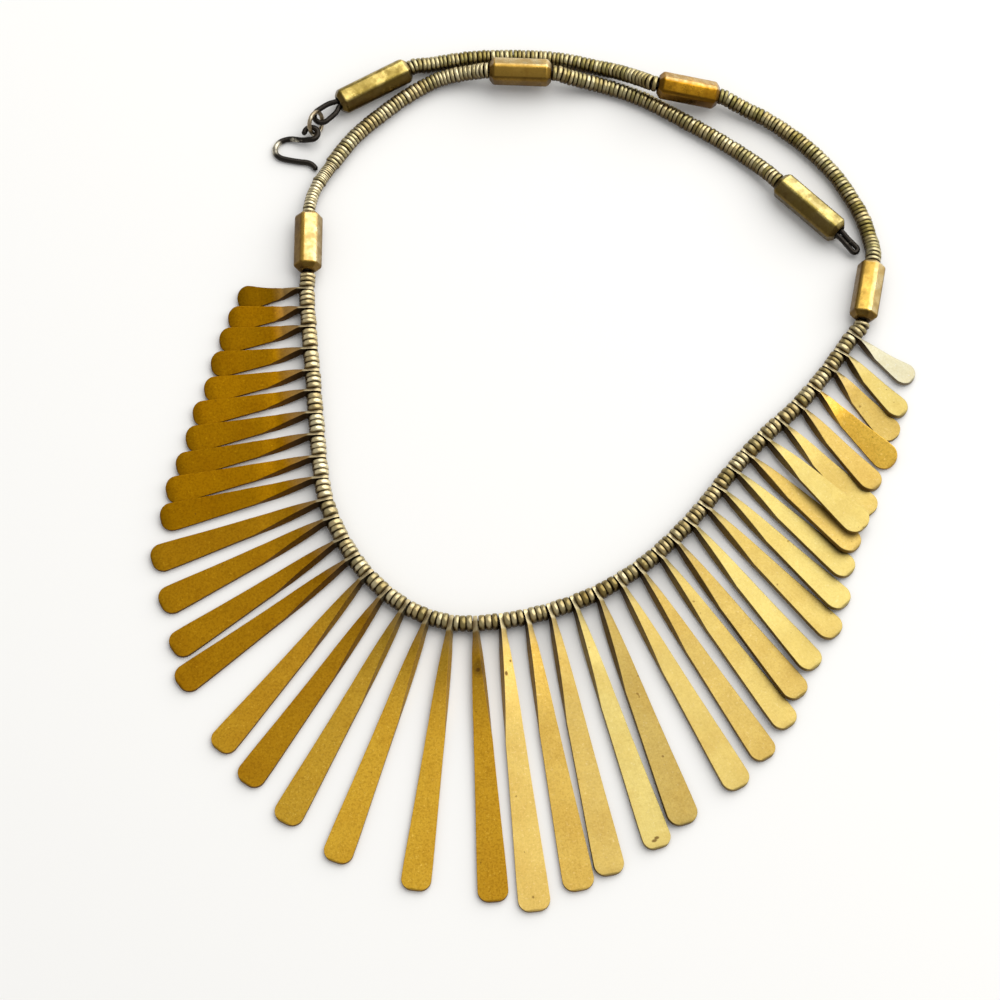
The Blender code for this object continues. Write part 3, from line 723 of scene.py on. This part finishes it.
def disc_brass(finish):
    """Turned brass with grime and painted shade in the grooves, and painted shade on the underside and on the
    side away from the key light.
    """
    paint = Paint("disc_brass")
    toned, span = paint.toned, paint.span
    _, pale, grooved, olive = paint.patina()
    mottle = paint.noise(paint.place, 1100.0, 4.0)
    cloud = paint.noise(paint.place, 200.0, 3.0)
    dull = paint.mixed(olive, paint.scaled(finish.disc_brass, (0.35, 0.30, 0.20)),
                       paint.scaled(finish.disc_brass, (0.33, 0.33, 0.18)))
    brass = paint.mixed(pale, dull, finish.disc_brass)
    brass = toned(span(cloud, 0.45, 0.62, 0.0, 0.55), brass, (0.80, 0.68, 0.45))
    brass = toned(span(mottle, 0.48, 0.75, 0.0, 0.65), brass, (0.60, 0.52, 0.40))
    # Painted shade on faces that turn down or away from the key light.
    low = span(paint.leaning(), -0.05, 0.66, 0.94, 0.0)
    # Grime and painted shade in the gaps between the discs, joined with the painted shade below.
    grime_and_shade = paint.maths("MAXIMUM", span(grooved, 0.25, 0.95, 0.0, 0.88), low)
    return paint.done(paint.mixed(grime_and_shade, brass, finish.groove_and_shade), span(mottle, 0.3, 0.7, 0.26, 0.42),
                      paint.bump(mottle, 0.3, 0.00006))


def bead_brass(finish):
    """Worn hexagonal brass tube: a painted highlight on the facets that face the key light, brown in patches
    and darker at the ends, and painted shade underneath and on the side away from the light.
    """
    paint = Paint("bead_brass")
    toned, span, maths = paint.toned, paint.span, paint.maths
    _, pale, tarnished, dark_ends = paint.patina()
    mottle = paint.noise(paint.place, 700.0, 5.0)
    cloud = paint.noise(paint.place, 260.0, 5.0, 0.65)
    grain = paint.noise(paint.place, 2600.0, 3.0)
    brass = paint.mixed(pale, finish.deep_gold, finish.pale_gold)
    brass = toned(maths("MULTIPLY", tarnished, span(cloud, 0.38, 0.56)), brass, (0.44, 0.41, 0.27))
    brass = toned(span(mottle, 0.48, 0.74, 0.0, 0.55), brass, (0.55, 0.48, 0.38))
    brass = toned(span(grain, 0.5, 0.8, 0.0, 0.40), brass, (1.35, 1.40, 1.6))
    # Painted highlight: facets facing the key light turn to the discs' pale brass, broken up by mottle and
    # weaker where tarnished.
    painted_highlight = maths("MULTIPLY", span(paint.leaning((0.55, 0.45, 0.70)), 0.62, 0.86),
                   span(mottle, 0.35, 0.60, 0.60, 0.25))
    painted_highlight = maths("MULTIPLY", painted_highlight, span(tarnished, 0.35, 1.0, 1.0, 0.25))
    brass = paint.mixed(painted_highlight, brass, finish.disc_brass)
    # Painted shade on faces that turn down or away from the key light; the ends are darker as well.
    steep_shade = maths("MULTIPLY", span(paint.leaning(), 0.42, 0.86, 0.92, 0.0), span(cloud, 0.35, 0.60, 1.0, 0.8))
    brass = paint.mixed(maths("MAXIMUM", dark_ends, steep_shade), brass, [0.5 * value for value in finish.tarnish])
    return paint.done(brass, span(mottle, 0.3, 0.7, 0.24, 0.42),
                      paint.bump(mottle, 0.30, 0.00007, paint.bump(cloud, 0.4, 0.0002)))


def wire_metal(name, dark, bare_and_highlight, worn):
    """Drawn wire with a dark skin that is worn through in patches, and a painted highlight where the piece's
    patina marks one.
    """
    paint = Paint(name)
    span, maths = paint.span, paint.maths
    patches = paint.noise(paint.place, 520.0, 4.0)
    fine = paint.noise(paint.place, 2600.0, 3.0)
    # Painted highlight where the patina's first number is high, and worn patches of bare metal.
    painted_highlight = maths("MULTIPLY", span(paint.patina()[1], 0.1, 0.6), span(patches, 0.30, 0.55, 0.3, 1.0))
    worn_off = span(patches, 0.64 - 0.3 * worn, 0.80 - 0.3 * worn)
    metal = paint.mixed(maths("MAXIMUM", painted_highlight, worn_off), dark, bare_and_highlight)
    metal = paint.toned(span(fine, 0.5, 0.75, 0.0, 0.4), metal, (0.55, 0.50, 0.45))
    return paint.done(metal, span(fine, 0.3, 0.7, 0.22, 0.40), paint.bump(fine, 0.25, 0.00004))


def thread_fibre():
    """Waxed dark thread."""
    paint = Paint("waxed_thread", 0.0)
    fibre = paint.noise(paint.place, 3000.0, 3.0)
    return paint.done(paint.mixed(fibre, (0.02, 0.014, 0.008), (0.09, 0.065, 0.04)),
                      paint.span(fibre, 0.3, 0.7, 0.6, 0.9), paint.bump(fibre, 0.5, 0.00008))


def finish_piece(item, material, slot, *nodes):
    """Gives a piece its material and sets it in the frame in place of its solids."""
    item.data.materials.clear()
    item.data.materials.append(material)
    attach(item, "root")
    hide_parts(*nodes)


def disc_master(discs):
    """One turned disc: a short tube with rounded rims, its axis along +Z."""
    radius, thickness = discs.disc_diameter / 2, discs.neck_disc
    item = start_piece("disc_master", bpy.ops.mesh.primitive_cylinder_add, vertices=discs.sides,
                       radius=radius, depth=thickness)
    bpy.ops.object.mode_set(mode="EDIT")
    pick(item, "FACE", lambda face: abs(face.normal.z) > 0.9)
    bpy.ops.mesh.inset(thickness=radius - 0.6 * discs.thread)
    bpy.ops.mesh.bridge_edge_loops()
    pick(item, "EDGE", lambda edge: one_end(edge) and all(vertex.co.to_2d().length > 0.9 * radius
                                                          for vertex in edge.verts))
    bpy.ops.mesh.bevel(offset=0.24 * thickness, segments=1, profile=0.5)
    bpy.ops.object.mode_set(mode="OBJECT")
    bpy.ops.object.shade_smooth_by_angle(angle=math.radians(60))
    return item


def row_of_discs(master, discs, path, total, start, end, kind, dice):
    """Discs side by side along part of a path. kind: diameter share, pitch, tone, and olive share."""
    wide, pitch, tone, olive = kind
    rim = 0.97 * max(vertex.co.to_2d().length for vertex in master.data.vertices)
    count = max(1, round((end - start) / pitch))
    weights = [dice.uniform(*DISC_THICKNESSES) for _ in range(count)]
    room = (end - start) / sum(weights)
    row = []
    at = start
    for weight in weights:
        thickness = weight * room
        place, way = point_at(path, total, at + thickness / 2)
        at += thickness
        axes = axes_along(way)
        lean = Matrix.Rotation(dice.uniform(-1, 1) * discs.lean, 4, "X") @ Matrix.Rotation(
            dice.uniform(-1, 1) * discs.lean, 4, "Y")
        across = wide * dice.uniform(*DISC_WIDTHS)
        slip = Vector((dice.uniform(-1, 1), dice.uniform(0, 1), 0)) * discs.disc_diameter * DISC_SLIP
        size = Matrix.Diagonal((across, across, DISC_FILL * thickness / discs.neck_disc, 1.0))
        pale = min(1.0, max(0.0, tone + dice.uniform(-DISC_TONES, DISC_TONES)))
        disc = copy_of(master, "disc")
        # The second number marks the faces inside the rim, which the disc material darkens with grime and
        # painted shade.
        tint(disc, lambda spot: (pale, 0.0 if spot.to_2d().length > rim else 1.0, olive))
        disc.data.transform(Matrix.Translation(place + axes @ slip) @ axes @ lean @ size)
        row.append(disc)
    return row


def string_up(row, path, name, scene, node):
    """Joins a string's discs and runs the thread through them."""
    brass = bpy.data.materials.get("disc_brass") or disc_brass(scene.necklace_finish)
    fibre = bpy.data.materials.get("waxed_thread") or thread_fibre()
    finish_piece(join(row, name.format("discs")), brass, "discs", node)
    thread = round_wire(name.format("thread"), path, scene.necklace_string.thread)
    finish_piece(thread, fibre, "discs", node)


class NECKLACE_OT_bib_discs(bpy.types.Operator):
    """String the discs between the paddles"""

    bl_idname = "necklace.bib_discs"
    bl_label = "Bib Discs"

    def execute(self, context):
        scene = context.scene
        discs = scene.necklace_string
        dice = random.Random(11)
        path, total, stations, _ = bib_stations(scene)
        master = disc_master(discs)
        half = scene.necklace_paddles.eye_width / 2 + CLEARANCE / 5
        limits = [0.0] + [s + side for s in stations for side in (-half, half)] + [total[-1]]
        row = []
        for gap, (start, end) in enumerate(zip(limits[::2], limits[1::2])):
            tone = next(tone for until, tone in BIB_TONES if gap <= until)
            tone += dice.uniform(-GAP_TONES, GAP_TONES)
            row += row_of_discs(master, discs, path, total, start, end,
                                (1.0, discs.bib_disc, tone, BIB_OLIVE), dice)
        string_up(row, path, "bib_{}", scene, "bib_string")
        bpy.data.objects.remove(master)
        return {"FINISHED"}


class NECKLACE_OT_neck_discs(bpy.types.Operator):
    """String the discs of the two neck strings between their tube beads"""

    bl_idname = "necklace.neck_discs"
    bl_label = "Neck Discs"

    def execute(self, context):
        scene = context.scene
        discs, beads = scene.necklace_string, scene.necklace_beads
        dice = random.Random(7)
        master = disc_master(discs)
        for name, (tubes, routes) in NECK_STRINGS.items():
            row = []
            threads = [bead_end(tubes[0], beads, -1, -CLEARANCE)[0]]
            for first, second, route in zip(tubes, tubes[1:], routes):
                start, way = bead_end(first, beads, 1, CLEARANCE / 3)
                end, next_way = bead_end(second, beads, -1, CLEARANCE / 3)
                path = string_path(start, way, [on_floor(*place) for place in route], end, next_way,
                                   discs.disc_diameter, discs.disc_diameter / 3)
                total = lengths_along(path)
                threads += path
                neck_tone, olive = NECK_TONES[first]
                kinds = [(until * MM, wide, pitch * discs.neck_disc, tone)
                         for until, wide, pitch, tone in WORN_DISCS if first == "tube_left"]
                at = 0.0
                for until, *kind in (*kinds, (total[-1], 1.0, discs.neck_disc, neck_tone)):
                    row += row_of_discs(master, discs, path, total, at, until, (*kind, olive), dice)
                    at = until
            threads.append(bead_end(tubes[-1], beads, 1, -LOOP_TUCK - 2 * CLEARANCE)[0])
            string_up(row, threads, name.replace("string", "{}"), scene, name)
        bpy.data.objects.remove(master)
        return {"FINISHED"}


def smooth_form():
    """The rows of FORM with eased rows between them."""
    rows = [FORM[0], *FORM, FORM[-1]]
    dense = [FORM[0]]
    for a, b, c, d in zip(rows, rows[1:], rows[2:], rows[3:]):
        for k in range(1, FORM_STEPS + 1):
            t = k / FORM_STEPS
            row = [curve_at(*values, t) for values in zip(a, b, c, d)]
            row[0] = b[0] + (c[0] - b[0]) * t
            dense.append([min(max(value, min(q, r)), max(q, r)) for value, q, r in zip(row, b, c)])
    return dense


def paddle_sections(number, scene):
    """Where each section stands along the paddle and its width, depth, squareness, roll and underside."""
    paddles, diameter = scene.necklace_paddles, scene.necklace_string.disc_diameter
    _, _, length, width, *_ = PADDLES[number - 1]
    corner = width * paddles.blade_width * (0.50 - 0.13 * length)
    length, width = length * paddles.length, width * paddles.blade_width
    eye, eye_depth, eye_reach = paddles.eye_width, diameter - 2 * EYE_SINK, diameter / 2 + CLEARANCE
    thickness = paddles.blade_thickness
    for at, wide, deep, square in EYE_FORM:
        yield at * EYE_BACK, wide * eye, deep * eye_depth, square, 0.0, None
    for at, wide, deep, square, roll, under in smooth_form():
        wide = eye + wide ** SLIMMER.get(number, 1.0) * (width - eye)
        deep = thickness + deep * (eye_depth - thickness)
        yield eye_reach + at * (length - corner - eye_reach), wide, deep, square, roll, under
    for k in range(1, TIP_STEPS + 1):
        angle = math.radians(90 * k / TIP_STEPS)
        wide = width - 2 * corner * (1 - math.cos(angle))
        yield length - corner + corner * math.sin(angle), wide, thickness, 1.0, 1.0, 0.0


def paddle_blank(stations):
    """A square bar along +Y, cut across at every station of the forging."""
    item = start_piece("paddle_blank", bpy.ops.mesh.primitive_cube_add, size=2.0)
    item.data.transform(Matrix.Diagonal((1, (stations - 1) / 2, 1, 1)) @ Matrix.Translation((0, 1, 0)))
    bpy.ops.object.mode_set(mode="EDIT")
    for k in range(1, stations - 1):
        bpy.ops.mesh.select_all(action="SELECT")
        bpy.ops.mesh.bisect(plane_co=(0, k, 0), plane_no=(0, 1, 0))
    bpy.ops.object.mode_set(mode="OBJECT")
    return item


def forge(blank, number, place, way, even, scene):
    """Forges one paddle from a copy of the blank: its eye, its four-sided shank and its blade."""
    paddles = scene.necklace_paddles
    height = scene.necklace_string.disc_diameter / 2
    eye_reach = height + CLEARANCE
    _, turn, length, _, roll, *_ = PADDLES[number - 1]
    outward = Vector((way.y, -way.x, 0)).normalized()
    bend = outward * eye_reach
    onward = Matrix.Rotation(math.radians(turn), 3, "Z") @ outward * (length * paddles.length) - bend
    roll_angle = roll * math.asin(min((paddles.blade_thickness + CLEARANCE) / even, 0.6))
    edge = -1.0 if number <= TURNED_LAST else 1.0
    reach = length * paddles.length - eye_reach
    rings = []
    for at, wide, deep, square, rolled, under in paddle_sections(number, scene):
        straight = at <= eye_reach
        axis = outward if straight else onward.normalized()
        centre = outward * at if straight else bend + onward * ((at - eye_reach) / reach)
        half, tall = wide / 2, deep / 2
        corners = {(1, 1): (edge * half * square, tall), (-1, 1): (-edge * half, square * tall),
                   (-1, -1): (-edge * half * square, -tall), (1, -1): (edge * half, -square * tall)}
        spin = roll_angle * rolled
        turned = {key: (x * math.cos(spin) - z * math.sin(spin), x * math.sin(spin) + z * math.cos(spin))
                  for key, (x, z) in corners.items()}
        middle = height
        if under is not None:
            low = under * EYE_SINK + (1 - under) * RAISED.get(number, 0) * paddles.blade_thickness
            middle = low - min(z for _, z in turned.values())
        rings.append((centre, Vector((axis.y, -axis.x, 0)), middle + ROUTES_FROM.z, turned))
    item = copy_of(blank, f"forged_paddle_{number:02d}")
    for vertex in item.data.vertices:
        centre, side, middle, turned = rings[round(vertex.co.y)]
        x, z = turned[(1 if vertex.co.x * edge > 0 else -1), (1 if vertex.co.z > 0 else -1)]
        spot = Vector((place.x, place.y, 0)) + centre + side * x
        vertex.co = (spot.x, spot.y, middle + z)
    return item, onward.normalized()


def map_blade(item, place, onward):
    """Lays the blade's own map along it."""
    side = Vector((onward.y, -onward.x, 0))
    layer = item.data.uv_layers.new(name="blade")
    for corner in item.data.loops:
        spot = item.data.vertices[corner.vertex_index].co - place
        layer.data[corner.index].uv = (spot.dot(onward) / (BLADE_MAP * MM) + MAP_START,
                                       MAP_MIDDLE + (spot.dot(side) + 0.4 * spot.z) / (BLADE_MAP * MM))


class NECKLACE_OT_paddles(bpy.types.Operator):
    """Forge the fringe of paddles"""

    bl_idname = "necklace.paddles"
    bl_label = "Paddles"

    def execute(self, context):
        scene = context.scene
        paddles, finish = scene.necklace_paddles, scene.necklace_finish
        dice = random.Random(5)
        brass = forged_brass(finish, "forged_brass")
        special = {number: forged_brass(finish, f"forged_brass_{number}", MARKS.get(number, ()),
                                        SILVERY.get(number))
                   for number in sorted({*MARKS, *SILVERY})}
        path, total, stations, even = bib_stations(scene)
        blank = paddle_blank(len(list(paddle_sections(1, scene))))
        drill = start_piece("drill", bpy.ops.mesh.primitive_cylinder_add, vertices=16,
                            radius=scene.necklace_string.thread / 2 + CLEARANCE,
                            depth=4 * paddles.eye_width)
        for number, (row, station) in enumerate(zip(PADDLES, stations), start=1):
            place, way = point_at(path, total, station)
            item, onward = forge(blank, number, place, way, even, scene)
            soften(item, paddles.soft_edge, 2, 35)
            cut_away(item, drill, Matrix.Translation(place) @ axes_along(way))
            even_shading(item)
            map_blade(item, place, onward)
            patina = (*row[-2:], dice.random())
            tint(item, lambda spot: patina)
            finish_piece(item, special.get(number, brass), "paddles", f"paddle_{number:02d}")
        bpy.data.objects.remove(blank)
        bpy.data.objects.remove(drill)
        return {"FINISHED"}


class NECKLACE_OT_tube_beads(bpy.types.Operator):
    """Shape the six hexagonal tube beads"""

    bl_idname = "necklace.tube_beads"
    bl_label = "Tube Beads"

    def execute(self, context):
        scene = context.scene
        beads = scene.necklace_beads
        brass = bead_brass(scene.necklace_finish)
        for name, (*_, tone, tarnish) in TUBES.items():
            place, way, length, turn = tube_frame(name, beads)
            item = start_piece(f"worn_{name}", bpy.ops.mesh.primitive_cylinder_add, vertices=6,
                               radius=beads.flats / math.sqrt(3), depth=length)
            bpy.ops.object.mode_set(mode="EDIT")
            pick(item, "EDGE", one_end)
            bpy.ops.mesh.bevel(offset=beads.chamfer, segments=1, profile=0.5)
            pick(item, "EDGE", lambda edge: not one_end(edge))
            bpy.ops.mesh.bevel(offset=beads.soft_edge, segments=3, profile=0.5)
            bpy.ops.object.mode_set(mode="OBJECT")
            soften(item, 0.35 * beads.soft_edge, 2, 22)
            bore = scene.necklace_string.thread / 2 + CLEARANCE
            if name.endswith("_end"):
                bore = scene.necklace_wires.loop_wire + 1.2 * CLEARANCE
            drill = start_piece("drill", bpy.ops.mesh.primitive_cylinder_add, vertices=20, radius=bore,
                                depth=2 * length)
            cut_away(item, drill, Matrix.Identity(4))
            even_shading(item)
            bpy.data.objects.remove(drill)
            # The bead is darker beyond this distance from its middle, at both ends.
            dark_from = length / 2 - 0.35 * beads.chamfer
            tint(item, lambda spot: (tone, tarnish, 0.75 if abs(spot.z) > dark_from else 0.0))
            item.data.transform(Matrix.Translation(place) @ axes_along(way)
                                @ Matrix.Rotation(turn + math.pi / 6, 4, "Z"))
            finish_piece(item, brass, "tube_beads", name)
        return {"FINISHED"}


def bent_loop(name, scene):
    """A doubled wire out of an end tube bead that opens into an eye."""
    bead, reach, eye, drop, swing = WIRE_LOOPS[name]
    wire = scene.necklace_wires.loop_wire
    mouth, way = bead_end(bead, scene.necklace_beads, 1)
    side = Vector((0, 0, 1)).cross(way).normalized()
    legs = wire / 2 + CLEARANCE / 4
    radius = max((eye * MM - wire) / 2, legs)
    ahead = Matrix.Rotation(math.radians(swing), 3, "Z") @ way * (reach * MM) - Vector((0, 0, drop * MM))
    out = ahead.normalized()
    across = (side - out * side.dot(out)).normalized()
    swell = mouth + ahead * 0.4
    tucked = mouth - way * LOOP_TUCK
    knots = [tucked - side * legs, mouth - side * legs, swell - across * radius * 0.85,
             *arc_points(mouth + ahead, out, across, radius, -90, 90, 12),
             swell + across * radius * 0.85, mouth + side * legs, tucked + side * legs]
    return round_wire(name.replace("loop", "wire"), smooth_path(knots, wire / 2), wire)


class NECKLACE_OT_fastening(bpy.types.Operator):
    """Bend the two wire loops, the jump ring and the hook"""

    bl_idname = "necklace.fastening"
    bl_label = "Hook and Loops"

    def execute(self, context):
        scene = context.scene
        wires, finish = scene.necklace_wires, scene.necklace_finish
        black, hook_skin = (wire_metal(name, finish.dark_wire, finish.worn_and_highlight_wire, 0.0)
                            for name in ("blackened_wire", "hook_wire"))
        silvered = wire_metal("silvered_wire", (0.30, 0.23, 0.14), (0.72, 0.67, 0.55), 0.45)
        for name in WIRE_LOOPS:
            finish_piece(bent_loop(name, scene), black, "dark_wire", name)

        mouth, _ = bead_end("tube_right_end", scene.necklace_beads, 1)
        ring = start_piece("silvered_ring", bpy.ops.mesh.primitive_torus_add, major_segments=48,
                           minor_segments=14, major_radius=(wires.ring_diameter - wires.ring_wire) / 2,
                           minor_radius=wires.ring_wire / 2)
        bpy.ops.object.shade_smooth()
        ring.data.transform(Matrix.Translation(mouth + Vector(RING_PLACE) * MM)
                            @ Matrix.Rotation(math.radians(RING_HEADING), 4, "Z")
                            @ Matrix.Rotation(math.radians(RING_LEAN), 4, "X"))
        finish_piece(ring, silvered, "pale_wire", "jump_ring")

        middle = mouth + Vector(HOOK_PLACE) * MM
        eye = arc_points(middle, Vector((1, 0, 0)), Vector((0, 1, 0)), (wires.hook_eye - wires.hook_wire) / 2,
                         *HOOK_EYE_TURN, HOOK_EYE_STEPS)
        route = [Vector((middle.x + x * MM, middle.y + y * MM, z * MM + ROUTES_FROM.z))
                 for x, y, z in HOOK_ROUTE]
        path = smooth_path([*eye, *route], wires.hook_wire / 3)
        bent = round_wire("bent_hook", path, wires.hook_wire, rounded_ends(path, wires.hook_wire))
        # A painted highlight on the hook's bend, strongest at this place.
        painted_highlight = route[HOOK_HIGHLIGHT_AT]
        tint(bent, lambda spot: (max(0.0, 1.0 - (spot - painted_highlight).length / HOOK_HIGHLIGHT_REACH), 0.0, 0.0))
        finish_piece(bent, hook_skin, "dark_wire", "hook")
        return {"FINISHED"}


def pale_floor(colour):
    """A plain matt floor."""
    paint = Paint("pale_floor", 0.0)
    paint.shader.inputs["Specular IOR Level"].default_value = 0.2
    soft = paint.noise(paint.place, 6.0, 2.0)
    return paint.done(paint.mixed(soft, colour, [0.985 * value for value in colour]), 0.9)


def stand(name, data, target, away):
    """Adds a light or a camera that looks back at its target from some way off."""
    item = bpy.data.objects.new(name, data)
    bpy.context.scene.collection.objects.link(item)
    item.matrix_world = Matrix.Translation(target + away) @ away.to_track_quat("Z", "Y").to_matrix().to_4x4()
    return item


class NECKLACE_OT_stage(bpy.types.Operator):
    """Set up the floor, the soft light and the camera"""

    bl_idname = "necklace.stage"
    bl_label = "Stage"

    def execute(self, context):
        scene = context.scene
        stage = scene.necklace_stage
        floor = start_piece("floor", bpy.ops.mesh.primitive_circle_add, vertices=96, radius=3.0,
                            fill_type="NGON")
        floor.data.materials.append(pale_floor(stage.floor_colour))

        world = bpy.data.worlds.new("room")
        world.use_nodes = True
        back = world.node_tree.nodes["Background"]
        back.inputs["Color"].default_value = (1.0, 0.995, 0.985, 1.0)
        back.inputs["Strength"].default_value = stage.room_light
        scene.world = world
        light = set_up(bpy.data.lights.new("key", "AREA"), shape="SQUARE", size=KEY_SIZE,
                       energy=stage.key_light, color=(1.0, 0.985, 0.95))
        stand("key", light, Vector((0, 0, 0)), heading_to(*KEY_HEADING) * KEY_DISTANCE)

        target = Vector((ROUTES_FROM.x, ROUTES_FROM.y, 0.0))
        away = Vector((0, -math.cos(stage.elevation), math.sin(stage.elevation)))
        lens = set_up(bpy.data.cameras.new("camera"), lens=stage.lens, sensor_width=36.0, clip_start=0.01,
                      clip_end=20.0)
        scene.camera = stand("camera", lens, target, away * stage.distance)
        scene.view_settings.view_transform = "Standard"
        return {"FINISHED"}


class NECKLACE_PT_panel(bpy.types.Panel):
    """Sidebar panel of the necklace"""

    bl_idname = "NECKLACE_PT_panel"
    bl_label = "Bib Necklace"
    bl_space_type = "VIEW_3D"
    bl_region_type = "UI"
    bl_category = "Necklace"

    def draw(self, context):
        for step in STEPS:
            self.layout.operator(step.bl_idname)
        for name in SETTINGS:
            group = getattr(context.scene, name)
            box = self.layout.box()
            for field in group.bl_rna.properties:
                if not field.is_readonly and field.identifier != "name":
                    box.prop(group, field.identifier)


SETTINGS = {
    "necklace_string": StringSettings,
    "necklace_paddles": PaddleSettings,
    "necklace_beads": BeadSettings,
    "necklace_wires": WireSettings,
    "necklace_finish": FinishSettings,
    "necklace_stage": StageSettings,
}
STEPS = (NECKLACE_OT_bib_discs, NECKLACE_OT_neck_discs, NECKLACE_OT_paddles, NECKLACE_OT_tube_beads,
         NECKLACE_OT_fastening, NECKLACE_OT_stage)
CLASSES = (*SETTINGS.values(), *STEPS, NECKLACE_PT_panel)


def register():
    for kind in CLASSES:
        bpy.utils.register_class(kind)
    for name, kind in SETTINGS.items():
        setattr(bpy.types.Scene, name, PointerProperty(type=kind))


def unregister():
    for name in SETTINGS:
        delattr(bpy.types.Scene, name)
    for kind in reversed(CLASSES):
        bpy.utils.unregister_class(kind)


def main():
    register()
    bpy.ops.necklace.bib_discs()
    bpy.ops.necklace.neck_discs()
    bpy.ops.necklace.paddles()
    bpy.ops.necklace.tube_beads()
    bpy.ops.necklace.fastening()
    bpy.ops.necklace.stage()


if __name__ == "__main__":
    main()
